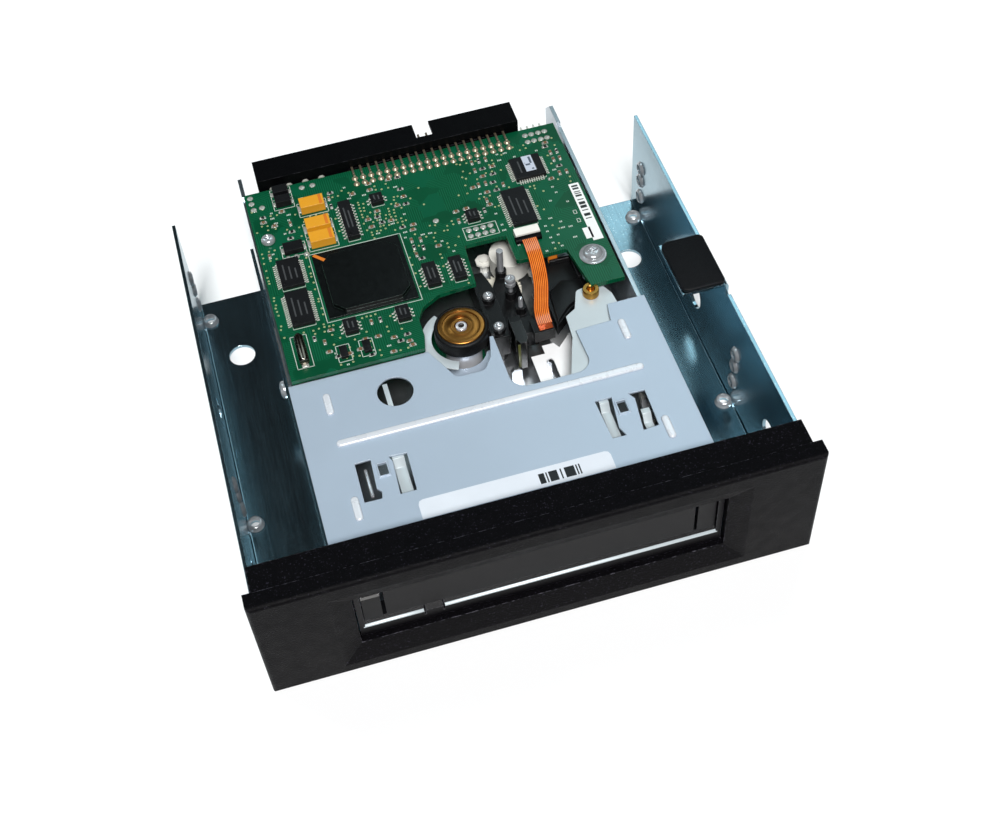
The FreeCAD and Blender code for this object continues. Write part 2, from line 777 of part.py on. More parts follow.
def coil(radius, wire, pitch, turns, along="Z"):
    """A helical spring of square wire, in short straight runs from the origin upwards."""
    points = []
    for step in range(int(turns * STEPS_PER_TURN) + 1):
        angle = 2 * math.pi * step / STEPS_PER_TURN
        height = pitch * step / STEPS_PER_TURN + wire
        points.append(FreeCAD.Vector(radius * math.cos(angle), radius * math.sin(angle), height))
    corners = [(-wire, -wire), (wire, -wire), (wire, wire), (-wire, wire), (-wire, -wire)]
    section = Part.makePolygon([FreeCAD.Vector(radius + u, 0, wire + w) for u, w in corners])
    spring = Part.makePolygon(points).makePipeShell([section], True, True, 1)
    spring.Placement = FreeCAD.Placement(FreeCAD.Vector(), TURN_TO[along])
    return spring


def springs():
    """The door's return spring on its rod and the two latch springs on their pivots."""
    middle = sheet.overall_depth / 2
    wire = sheet.door_spring_wire
    door = doc.addObject("Part::Feature", "DoorSpring")
    door.Shape = coil(sheet.hinge_rod_round + wire + sheet.slip, wire, 6 * wire, 3, "X")
    door.Label = "door_spring"
    left = -sheet.spring_gap_left + 3 * wire
    door.Placement = FreeCAD.Placement(
        FreeCAD.Vector(left, sheet.hinge_depth - middle, sheet.hinge_high), TURN_TO["X"])
    NODES.append(door)
    latch = doc.addObject("Part::Feature", "LatchSprings")
    pair = []
    for side in (-1, 1):
        turn = coil(sheet.spring_round, sheet.spring_wire, sheet.spring_pitch, sheet.spring_turns)
        turn.translate(FreeCAD.Vector(side * sheet.latch_pivot_x, sheet.latch_pivot_y, 0))
        pair.append(turn)
    latch.Shape = Part.makeCompound(pair)
    latch.Label = "latch_springs"
    seat = sheet.latch_low + sheet.latch_thick + sheet.slip
    latch.Placement = FreeCAD.Placement(FreeCAD.Vector(0, -middle, seat), TURN_TO["Z"])
    NODES.append(latch)


# ---------------------------------------------------------------- top cover

def top_cover():
    """Pressed sheet with windows, a bead across it and a cut-out round capstan and head."""
    cover = body("top_cover")
    neck = "cover_rear - 0.1"
    outline = [("-(cover_half_wide)", "cover_front"), ("cover_half_wide", "cover_front"),
               ("cover_half_wide", "cover_rear + 0.9"), ("40.6", "cover_rear + 0.9"),
               ("39.6", "66.2"), ("29.3", "65.8"), ("29.8", "51.4"), ("7.2", "51.4"),
               ("6.9", neck), ("5.9", neck), ("4.4", "64.5"), ("1.6", "60.2"), ("-6.6", "60.2"),
               ("-9.2", "66"), ("-11.8", "cover_rear"), ("-(cover_half_wide)", "cover_rear")]
    windows = [[("-39.8", "27.9"), ("-35.1", "27.8"), ("-34.7", "29.9"), ("-35.8", "31.2"),
                ("-35.3", "40.7"), ("-39.6", "40.6")],
               [("-30.3", "27.7"), ("-25.9", "27.7"), ("-25.6", "39.9"), ("-30.6", "40.2"),
                ("-29.8", "38.4")],
               [("27.0", "27.6"), ("30.9", "27.5"), ("29.8", "30.5"), ("31.1", "40.6"),
                ("26.4", "40.6")],
               [("35.6", "27.7"), ("40.0", "28.0"), ("40.3", "40.2"), ("35.7", "40.3"),
                ("36.9", "38.3")]]
    small = both_sides(rectangle("31.6", "34.0", "34.6", "38.4"))
    circle = [("-23.7", "60.7", "spy_hole_round")]
    pad(cover, "XY", "cover_low", "cover_sheet", [outline] + windows + small, circle,
        rounds=[("4.5", (6, 7)), ("2.5", (11, 12))])
    rims = both_sides(rectangle("31.2", "34.4", "34.2", "38.8"))
    pad(cover, "XY", "cover_top", "0.4", rims + small)
    skirt = rectangle("chassis_half_wide + slip / 2", "cover_half_wide", "cover_low - cover_skirt",
                      "cover_top")
    pad(cover, "XZ", "cover_front", "cover_rear - cover_front", both_sides(skirt))
    pad(cover, "YZ", "-bead_half_long", "2 * bead_half_long", [bead_section("bead_place")])
    sides = [bead_section("boss_place"), bead_section("-boss_place")]
    for front, length in (("23", "7"), ("58.4", "6.8")):
        pad(cover, "XZ", front, length, sides)
    return cover


def bead_section(middle):
    """The section of a raised bead, pressed up out of the cover."""
    low = "cover_top - slip"
    return [("%s - bead_half_wide" % middle, low), ("%s + bead_half_wide" % middle, low),
            ("%s + bead_half_wide * 0.8" % middle, "cover_top + bead_high * 0.6"),
            ("%s + bead_half_wide * 0.3" % middle, "cover_top + bead_high"),
            ("%s - bead_half_wide * 0.3" % middle, "cover_top + bead_high"),
            ("%s - bead_half_wide * 0.8" % middle, "cover_top + bead_high * 0.6")]


# ---------------------------------------------------------------- deck, latches, plate

def mechanism_plate():
    """Deck that carries motor, head and latches, with upright guides for the cartridge."""
    deck = body("mechanism_plate")
    outline = rectangle("-(deck_half_wide)", "deck_half_wide", "wing_rear + 3 * slip", "deck_rear")
    bearing = ring("screw_x", "screw_y", "screw_round - 0.22")
    pad(deck, "XY", "deck_low", "deck_sheet", [outline, window_outline(), bearing])
    sides = ("", "-")
    foot = "deck_top - slip"
    pad(deck, "XY", foot, "latch_low + 8 * grid - (%s)" % foot,
        [ring(side + "latch_pivot_x", "latch_pivot_y", "latch_pin_round") for side in sides])
    pad(deck, "XY", foot, "latch_low - deck_top",
        [ring(side + "latch_pivot_x", "latch_pivot_y", "latch_pin_round + 0.9", 8)
         for side in sides])
    guides = [[(left, foot), (right, foot), (right, "19.8"), ("%s - 0.8" % right, "20.6"),
               ("%s + 0.8" % left, "20.6"), (left, "19.8")]
              for left, right in (("10.7", "13.9"), ("19.6", "22.6"))]
    pad(deck, "XZ", "head_front - 1.5", "1", guides)
    return deck


def latch_arms():
    """Arms that swing on the deck's pivots and hold the cartridge by its side notches."""
    for label, sign in (("right_latch_arm", ""), ("left_latch_arm", "-")):
        pivot = ("%slatch_pivot_x" % sign, "latch_pivot_y")
        wheel = ("%slatch_roller_x" % sign, "latch_roller_y")
        arm = body(label)
        bar = [("%s - roller_round * 0.6" % wheel[0], wheel[1]),
               ("%s + roller_round * 0.6" % wheel[0], wheel[1]),
               ("%s + roller_round * 0.6" % pivot[0], pivot[1]),
               ("%s - roller_round * 0.6" % pivot[0], pivot[1])]
        pad(arm, "XY", "latch_low", "latch_thick", [bar])
        pad(arm, "XY", "latch_low", "latch_thick", [ring(*pivot, "latch_pin_round + 1.4")])
        pad(arm, "XY", "latch_low", "latch_thick", [ring(*wheel, "roller_round - 0.4")])
        pad(arm, "XY", "latch_low", "latch_thick + roller_thick + 0.6",
            [ring(*wheel, "roller_pin_round")])
        cut(arm, "XY", "latch_low - slip", "latch_thick + 2 * slip", (),
            [pivot + ("latch_pin_round + running_gap",)])
    for label, sign in (("right_latch_roller", ""), ("left_latch_roller", "-")):
        roller = body(label, "%slatch_roller_x" % sign, "latch_roller_y",
                      "latch_low + latch_thick + 2 * slip")
        pad(roller, "XY", "0", "roller_thick", [ring("0", "0", "roller_round", 24)])
        cut(roller, "XY", "-slip", "roller_thick + 2 * slip", (),
            [("0", "0", "roller_pin_round + running_gap")])


def loading_plate():
    """Pale plate under the cover, with a lobe round the brass post."""
    plate = body("loading_plate")
    outline = [("20.8", "44"), ("47.5", "44"), ("47.5", "64"), ("44.2", "70"),
               ("brass_x + 5.8", "brass_y - 1.4"), ("brass_x + 3.4", "brass_y + 3.6"),
               ("brass_x - 3.6", "brass_y + 2.6"), ("31.8", "74.6"), ("28.6", "72.6"),
               ("28.0", "64.8"), ("26.6", "61")]
    hole = [("brass_x", "brass_y", "brass_round + slip")]
    pad(plate, "XY", "plate_low", "plate_sheet", [outline], hole,
        rounds=[("1.5", (3, 5, 6))])


# ---------------------------------------------------------------- capstan

def capstan():
    motor = body("capstan_motor", "capstan_x", "capstan_y")
    sleeve = "capstan_shaft_round + running_gap"
    foot_top = "deck_top + deck_sheet"
    neck_top = "motor_board_low - slip / 2"
    turned(motor, [("0", "deck_top"), ("motor_foot_round", "deck_top"),
                   ("motor_foot_round", foot_top), ("4.2", foot_top), ("4.2", neck_top),
                   ("2.3", neck_top), ("2.3", "rotor_top - 1.6"), (sleeve, "rotor_top - 1.6"),
                   (sleeve, "deck_top + 0.8"), ("0", "deck_top + 0.8")])
    board = body("motor_board")
    outline = [("-13", "68"), ("5.4", "68"), ("5.4", "92"), ("-8", "92"), ("-13", "87")]
    pad(board, "XY", "motor_board_low", "motor_board_thick",
        [outline, ring("capstan_x", "capstan_y", "2.5")])
    rotor = body("capstan_rotor", "capstan_x", "capstan_y")
    bore = "rotor_round - rotor_wall"
    turned(rotor, [("0", "deck_top + 1"), ("capstan_shaft_round", "deck_top + 1"),
                   ("capstan_shaft_round", "rotor_top - 1"), (bore, "rotor_top - 1"),
                   (bore, "rotor_low"), ("rotor_round", "rotor_low"),
                   ("rotor_round", "rotor_top"), ("capstan_shaft_round", "rotor_top"),
                   ("capstan_shaft_round", "capstan_low + 3"), ("0", "capstan_low + 3")])
    hub = body("capstan_hub", "capstan_x", "capstan_y")
    shaft = "capstan_shaft_round + running_gap"
    turned(hub, [(shaft, "rotor_top + slip"), ("4.5", "rotor_top + slip"),
                 ("hub_round", "capstan_low"), ("hub_round", "capstan_top"),
                 ("5.2", "capstan_top"), ("5.2", "capstan_top - 0.5"), ("0", "capstan_top - 0.5"),
                 ("0", "capstan_low + 3.1"), (shaft, "capstan_low + 3.1")])
    tyre = body("capstan_tyre", "capstan_x", "capstan_y")
    turned(tyre, [("hub_round + running_gap", "capstan_low"), ("tyre_round", "capstan_low"),
                  ("tyre_round", "capstan_top - 0.5"), ("tyre_round - 0.3", "capstan_top - 0.2"),
                  ("hub_round + running_gap", "capstan_top - 0.2")])


# ---------------------------------------------------------------- head positioner

def gear_outline(teeth, module, backlash, turn):
    """Points of an involute gear, three to a flank, with a tooth on the +X axis plus turn."""
    pitch_round = module * teeth / 2
    base_round = pitch_round * math.cos(math.radians(20))
    tip_round = pitch_round + 0.9 * module
    root_round = pitch_round - 1.25 * module
    half_pitch_angle = (math.pi * module / 2 - backlash) / 2 / pitch_round
    pitch_roll = math.tan(math.radians(20)) - math.radians(20)

    def half_angle(radius):
        if radius <= base_round:
            return half_pitch_angle + pitch_roll
        pressure = math.acos(base_round / radius)
        return half_pitch_angle + pitch_roll - (math.tan(pressure) - pressure)

    flank = [root_round, pitch_round, tip_round]
    points = []
    for tooth in range(int(teeth)):
        middle = 2 * math.pi * tooth / teeth + turn
        corners = [(r, middle - half_angle(r)) for r in flank]
        corners += [(r, middle + half_angle(r)) for r in reversed(flank)]
        points += [FreeCAD.Vector(r * math.cos(a), r * math.sin(a), 0) for r, a in corners]
    return points


def gear(label, teeth, turn, x, y, bore=0.0, shaft=0.0, shaft_length=0.0):
    """A spur gear with a bore, or with a shaft of its own above it."""
    points = gear_outline(teeth, sheet.gear_module, sheet.gear_backlash, turn)
    face = Part.Face(Part.makePolygon(points + points[:1]))
    shape = face.extrude(FreeCAD.Vector(0, 0, sheet.gear_thick))
    if bore:
        sides = [2 * math.pi * side / 12 for side in range(13)]
        edge = [FreeCAD.Vector(bore * math.cos(a), bore * math.sin(a), 0) for a in sides]
        hole = Part.Face(Part.makePolygon(edge))
        shape = shape.cut(hole.extrude(FreeCAD.Vector(0, 0, sheet.gear_thick)))
    if shaft:
        shape = shape.fuse(Part.makeCylinder(shaft, sheet.gear_thick + shaft_length))
    wheel = doc.addObject("Part::Feature", "Gear")
    wheel.Shape = shape
    wheel.Label = label
    wheel.Placement = FreeCAD.Placement(
        FreeCAD.Vector(x, y - sheet.overall_depth / 2, sheet.gear_low), FreeCAD.Rotation())
    NODES.append(wheel)


def gear_train():
    """The stepper's pinion and the larger gear on the lead screw."""
    turn = math.radians(sheet.gear_turn)
    distance = sheet.gear_module * (sheet.screw_teeth + sheet.pinion_teeth) / 2
    gear("lead_screw_gear", sheet.screw_teeth, turn, sheet.screw_x, sheet.screw_y,
         bore=sheet.screw_round + 2 * sheet.running_gap)
    x = sheet.screw_x + distance * math.cos(turn)
    y = sheet.screw_y + distance * math.sin(turn)
    gap_turn = turn + math.pi + math.pi / sheet.pinion_teeth
    gear("stepper_pinion", sheet.pinion_teeth, gap_turn, x, y, shaft=0.75,
         shaft_length=sheet.stepper_low - sheet.gear_low - sheet.gear_thick + 1.6)


def head_positioner():
    stepper = body("stepper_motor", "stepper_x", "stepper_y")
    bore = "0.85"
    turned(stepper, [(bore, "stepper_low"), ("stepper_round", "stepper_low"),
                     ("stepper_round", "stepper_top"), ("0", "stepper_top"),
                     ("0", "stepper_low + 2.4"), (bore, "stepper_low + 2.4")])
    ears = [("stepper_ear_reach * sin(gear_turn)", "-stepper_ear_reach * cos(gear_turn)"),
            ("-stepper_ear_reach * sin(gear_turn)", "stepper_ear_reach * cos(gear_turn)")]
    pad(stepper, "XY", "stepper_low", "0.8",
        [ring(*ear, "stepper_ear_reach - stepper_round + 0.3", 8) for ear in ears])
    pad(stepper, "XY", "deck_top", "stepper_low + 1.2 - deck_top",
        [ring(*ear, "1.4", 8) for ear in ears])
    screw = body("lead_screw", "screw_x", "screw_y")
    journal = "screw_round - 0.3"
    turned(screw, [("0", "deck_low + 0.2"), (journal, "deck_low + 0.2"),
                   (journal, "deck_top + slip"), ("screw_round", "deck_top + slip"),
                   ("screw_round", "screw_top"), ("0", "screw_top")])
    pins = [fused([rod("pin_x", "pin_y", "deck_top", "pin_round", "pin_top - deck_top", "Z", 12),
                   rod("pin_x", "pin_y", "pin_collar_low", "pin_collar_round",
                       "pin_top - pin_collar_low", "Z", 12)]),
            rod("second_pin_x", "second_pin_y", "deck_top", "pin_round",
                "pin_collar_low + 1 - deck_top", "Z", 12)]
    group("guide_pins", pins)
    head_base()
    head_carriage()
    tape_head()


def head_base():
    """Black moulding beside the carriage, screwed to posts on the deck."""
    base = body("head_base")
    outline = [("base_left", "base_front"), ("base_right - 0.3", "base_front"),
               ("base_right", "base_front + 3"), ("base_right", "base_rear - 5.8"),
               ("base_right - 1.4", "base_rear"), ("base_left", "base_rear")]
    pad(base, "XY", "base_low", "base_top - base_low - 2.4", [outline])
    wall = rectangle("base_left", "base_left + 1", "base_front", "base_rear")
    pad(base, "XY", "base_low", "base_top - base_low", [wall])
    posts = [("10.4", "89.6"), ("10.2", "77.6")]
    pad(base, "XY", "deck_top", "base_top - deck_top - 0.6",
        [ring(x, y, "2", 12) for x, y in posts])
    screws = [rod(x, y, "base_top - 0.6 + slip / 2", "1.5", "0.9", "Z", 12) for x, y in posts]
    group("head_base_screws", screws)


def head_carriage():
    """Slides on the two pins, is lifted by the lead screw, and carries the head's connector."""
    carriage = body("head_carriage")
    front = "head_rear + slip"
    nut = "screw_round + 0.7"
    arm = [("carriage_left", front), ("carriage_right", front),
           ("carriage_right", "screw_y - 4.3"), ("screw_x + 1.2", "screw_y"),
           ("screw_x - 1.4", "screw_y"), ("carriage_left", "screw_y - 4.3")]
    pad(carriage, "XY", "carriage_low", "carriage_thick", [arm])
    pad(carriage, "XY", "carriage_low", "6",
        [ring("pin_x", "pin_y", "1.7"), ring("second_pin_x", "second_pin_y", "1.6")])
    pad(carriage, "XY", "carriage_low", "5.4", [ring("screw_x", "screw_y", nut)])
    saddle = rectangle("head_left", "head_right", front, "head_rear + 2.5")
    pad(carriage, "XY", "carriage_low", "head_top - 0.4 - carriage_low", [saddle])
    bridge = rectangle("head_right + 2 * slip", "carriage_right", "block_front + 2.5",
                       "head_rear + 3")
    pad(carriage, "XY", "carriage_low", "block_top - 2 - carriage_low", [bridge])
    block_outline = rectangle("block_left", "block_right", "block_front", "head_rear")
    pad(carriage, "XY", "block_low", "block_top - block_low", [block_outline])
    cut(carriage, "XY", "carriage_low - slip", "9",
        [ring("pin_x", "pin_y", "pin_round + 1.6 * running_gap"),
         ring("second_pin_x", "second_pin_y", "pin_round + 1.6 * running_gap"),
         ring("screw_x", "screw_y", "screw_round + 2 * running_gap")])


def tape_head():
    """A narrow upright tongue with a rounded nose that bears on the tape."""
    head = body("tape_head")
    outline = [("head_left", "head_rear"), ("head_left", "head_front + 1.5"),
               ("head_left + 0.8", "head_front"), ("head_right - 0.8", "head_front"),
               ("head_right", "head_front + 1.5"), ("head_right", "head_rear")]
    pad(head, "XY", "head_low", "head_top - head_low", [outline])


def head_flex():
    """Flat cable from the connector on the board to the head, in two lengths."""
    ribbon = body("head_flex")
    line = [(along_board(83.5), "32.2"), (along_board(90), "34.2"), (along_board(96.5), "36"),
            (along_board(102.3), "36")]
    top = [(y, "%s + flex_thick" % z) for y, z in reversed(line)]
    pad(ribbon, "YZ", "24.3", "flex_wide", [line + top])
    tail = body("head_flex_tail")
    low = "block_top + slip / 2"
    line = [("block_front + 1", low), ("head_rear + 2", low), ("82", low + " + 0.9")]
    top = [(y, "%s + flex_thick" % z) for y, z in reversed(line)]
    pad(tail, "YZ", "20.7", "flex_wide", [line + top])


def sensor_parts():
    """Optical tape sensor with its housing, and the brass post beside it."""
    post = body("brass_post", "brass_x", "brass_y")
    turned(post, [("0", "deck_top"), ("1.4", "deck_top"), ("1.4", "plate_low - 0.6"),
                  ("brass_round", "plate_low - 0.4"), ("brass_round", "brass_top"),
                  ("0", "brass_top")])
    housing = body("sensor_housing")
    outline = [("25.8", "71.7"), ("31.1", "76.7"), ("34.8", "78.8"), ("38.3", "81"),
               ("38.3", "96"), ("30.2", "96"), ("25.8", "88")]
    pad(housing, "XY", "housing_low", "housing_top - housing_low", [outline])
    foot = rectangle("window_right + 0.4", "38.3", "84", "94")
    pad(housing, "XY", "deck_top", "housing_low - deck_top + slip", [foot])


# ---------------------------------------------------------------- circuit board

def circuit_board():
    board = body("circuit_board")
    outline = [("-(board_left)", "board_front"), ("-12.4", "board_front"), ("-11.4", "76"),
               ("-11.4", "82.4"), ("-9.2", "86.4"), ("-3.6", "89.6"), ("7.4", "90.3"),
               ("8.2", "105.6"), ("20.7", "105.6"), ("20.9", "94.8"), ("35.9", "94.8"),
               ("38.2", "board_step"), ("board_right", "board_step"), ("board_right", "board_rear"),
               ("-(board_left)", "board_rear")]
    holes = [ring("-46.4", along_board(125.9), "board_screw_round + 2 * slip", 8),
             ring("42.3", "90.1", "board_screw_round + 2 * slip", 8)]
    pad(board, "XY", "board_low", "board_thick", [outline] + holes,
        rounds=[("1", (7, 8, 9, 10)), ("3.5", (3, 4, 5))])
    return board


def board_hardware():
    """Posts under the board, on the chassis or the deck, and the two screws that hold it."""
    spots = [("-46.4", along_board(125.9), "base_top_face"),
             ("44.5", along_board(138), "base_top_face"),
             ("-46.4", "78", "deck_top"), ("42.3", "90.1", "deck_top")]
    posts = []
    for x, y, foot in spots:
        bored = doc.addObject("Part::Cut", "Bored")
        bored.Base = rod(x, y, foot, "post_round", "board_low - %s" % foot, "Z", 8)
        bored.Tool = rod(x, y, "board_low - 7", "board_screw_round + 2 * slip", "8", "Z", 8)
        posts.append(bored)
    group("board_posts", posts)
    screws = []
    for (x, y, _), head in ((spots[0], "2.2"), (spots[3], "4")):
        screws.append(fused([rod(x, y, "board_top", head, "0.9", "Z", 12),
                             rod(x, y, "board_top", "1.9", "1.9", "Z", 8),
                             rod(x, y, "board_low - 6", "board_screw_round", "board_thick + 6.5",
                                 "Z", 8)]))
    group("board_screws", screws)


def board_components():
    main = body("main_chip")
    package = rectangle("-35.5", "-9.4", along_board(90), along_board(115.8))
    pad(main, "XY", "board_top", "0.6", [package])
    front, rear = along_board(91.2), along_board(113.4)
    cap = [("-30.3", front), ("-13.8", front), ("-10.8", front + " + 3"), ("-10.8", rear + " - 3"),
           ("-13.8", rear), ("-30.3", rear), ("-33.3", rear + " - 3"), ("-33.3", front + " + 3")]
    pad(main, "XY", "board_top + 0.6 - slip", "1.3", [cap])
    group("memory_chips", [chip(-46.0, -39.4, 105.2, 116.2, "1.2"),
                           chip(-46.0, -39.4, 90.1, 103.2, "1.2")])
    group("driver_chips", [chip(-23.7, -20.1, 118.3, 133.6, "1.7"),
                           chip(-13.9, -10.1, 129.9, 133.8, "1.5")])
    group("small_chips", [chip(-32.3, -28.4, 82.8, 87.8, "1.5"),
                          chip(-17.1, -13.3, 82.8, 87.8, "1.5"),
                          chip(11.6, 15.3, 113.8, 117.8, "1.5"),
                          chip(-5.9, -2.0, 92.6, 101.2, "1.5"),
                          chip(2.0, 5.6, 92.6, 101.2, "1.5")])
    group("servo_chip", [chip(30, 39.3, 125.4, 134.4, "1.4")])
    group("buffer_chip", [chip(23.9, 31.2, 107.6, 122.4, "1.2")])
    group("tantalum_capacitors", [chip(-34.7, -27.4, y, y + 4.3, "2.9")
                                  for y in (118.5, 124.4, 133.3)])
    group("power_diodes", [chip(-42.8, -37.0, 118.4, 122.0, "1.8"),
                           chip(-41.5, -36.8, 138.6, 141.6, "2.3"),
                           chip(-41.5, -36.8, 143.0, 146.0, "2.3")])
    group("crystal_can", [rod("-45.3", along_board(76), "board_top + 1.5", "1.45",
                              "board_step_along * 10.4", "Y", 16)])
    group("flex_connector", [chip(22.9, 30.3, 102.4, 105.2, "2")])


# ---------------------------------------------------------------- rear connector

def connector_shell():
    """Moulding that straddles the board's rear edge: a pin header and a power socket."""
    shell = body("connector_shell")
    outline = rectangle("-shell_left", "shell_right", "shell_low", "shell_top")
    pad(shell, "XZ", "shell_front", "shell_rear - shell_front", [outline])
    depth = "shell_rear - shell_floor + slip"
    header_left = "header_x - pin_pitch * pin_columns / 2 - 2.7"
    header = rectangle(header_left, "shell_right - shell_wall", "shell_low + shell_wall",
                       "shell_top - shell_wall")
    cut(shell, "XZ", "shell_floor", depth, [header])
    power = [("-power_cavity_left + 1.5", "shell_low + shell_wall"),
             ("-power_cavity_right - 1.5", "shell_low + shell_wall"),
             ("-power_cavity_right", "shell_low + shell_wall + 1.5"),
             ("-power_cavity_right", "shell_top - shell_wall"),
             ("-power_cavity_left", "shell_top - shell_wall"),
             ("-power_cavity_left", "shell_low + shell_wall + 1.5")]
    cut(shell, "XZ", "shell_floor - 1", depth + " + 1", [power])
    key = rectangle("key_left", "key_right", "shell_floor", "shell_rear + slip")
    cut(shell, "XY", "shell_top - shell_wall - slip", "shell_wall + 2 * slip", [key])
    slot_half = "(pin_side / 2 + slip)"
    reach = "(pin_pitch * (pin_columns - 1) / 2 + pin_side)"
    slots = [rectangle("header_x - " + reach, "header_x + " + reach,
                       "%s - %s" % (row, slot_half), "%s + %s" % (row, slot_half))
             for row in ("pin_row_low", "pin_row_high")]
    round_holes = [ring("power_x + power_pitch * %s" % step, "(pin_row_high + pin_row_low) / 2",
                        "power_pin_round + 2 * slip", 8) for step in ("-1.5", "-0.5", "0.5", "1.5")]
    cut(shell, "XZ", "shell_front - slip", "shell_floor - shell_front + 2 * slip",
        slots + round_holes)
    return shell


def connector_pins():
    """Rows of square header pins, the round power pins, and the jumper block below."""
    columns = int(round(sheet.pin_columns))
    pins = []
    for row in ("pin_row_high", "pin_row_low"):
        for column in range(columns):
            x = "header_x + pin_pitch * (%d - (pin_columns - 1) / 2) - pin_side / 2" % column
            pins.append(block(x, "tail_front", "%s - pin_side / 2" % row, "pin_side",
                              "pin_tip - tail_front", "pin_side"))
    group("interface_pins", pins)
    level = "(pin_row_high + pin_row_low) / 2"
    power = []
    for number in range(4):
        x = "power_x + power_pitch * (%d - 1.5)" % number
        power.append(rod(x, "board_rear + 0.3", level, "power_pin_round", "pin_tip - board_rear - 0.3",
                         "Y", 12))
    group("power_pins", power)
    jumper = body("jumper_header")
    outline = rectangle("jumper_x - 1", "jumper_x + 3 * jumper_pitch + 1", "board_rear - 4.4",
                        "board_rear - 0.4")
    pad(jumper, "XY", "board_low - 4.8", "4.7", [outline])
    sockets = []
    for column in range(4):
        for drop in (1.4, 3.4):
            x = "jumper_x + jumper_pitch * %d" % column
            z = "board_low - %s" % drop
            sockets.append((x, z))
    half = "jumper_pin_side / 2 + slip"
    cut(jumper, "XZ", "board_rear - 3", "3",
        [rectangle("%s - (%s)" % (x, half), "%s + %s" % (x, half), "%s - (%s)" % (z, half),
                   "%s + %s" % (z, half)) for x, z in sockets])
    pins = [block("%s - jumper_pin_side / 2" % x, "board_rear - 2.9", "%s - jumper_pin_side / 2" % z,
                  "jumper_pin_side", "jumper_tip - board_rear + 2.9", "jumper_pin_side")
            for x, z in sockets]
    group("jumper_pins", pins)


# ---------------------------------------------------------------- build, check and write

def build():
    front_bezel()
    adapter_bracket()
    foam_pad()
    drive_chassis()
    side_screws()
    drive_faceplate()
    door_hinge_rod()
    doors()
    activity_light()
    springs()
    top_cover()
    mechanism_plate()
    latch_arms()
    loading_plate()
    capstan()
    gear_train()
    head_positioner()
    head_flex()
    sensor_parts()
    circuit_board()
    board_hardware()
    board_components()
    connector_shell()
    connector_pins()
    doc.recompute()


def check():
    """Stop on any feature that failed and on any piece that is empty or not sound."""
    for item in doc.Objects:
        if "Invalid" in item.State or "Error" in item.State:
            raise RuntimeError("%s (%s) failed: %s" % (item.Label, item.Name, item.State))
    for node in NODES:
        if node.Shape.isNull() or not node.Shape.isValid() or not node.Shape.Solids:
            raise RuntimeError("%s has no sound solid" % node.Label)


def write():
    os.makedirs("parts", exist_ok=True)
    for node in NODES:
        node.Shape.exportStep("parts/%s.step" % node.Label)


build()
check()
write()
print("%d pieces written" % len(NODES))
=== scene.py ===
"""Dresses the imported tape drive: a finish for every carried-over node, and the fine pieces."""

import json
import math
import random
import sys

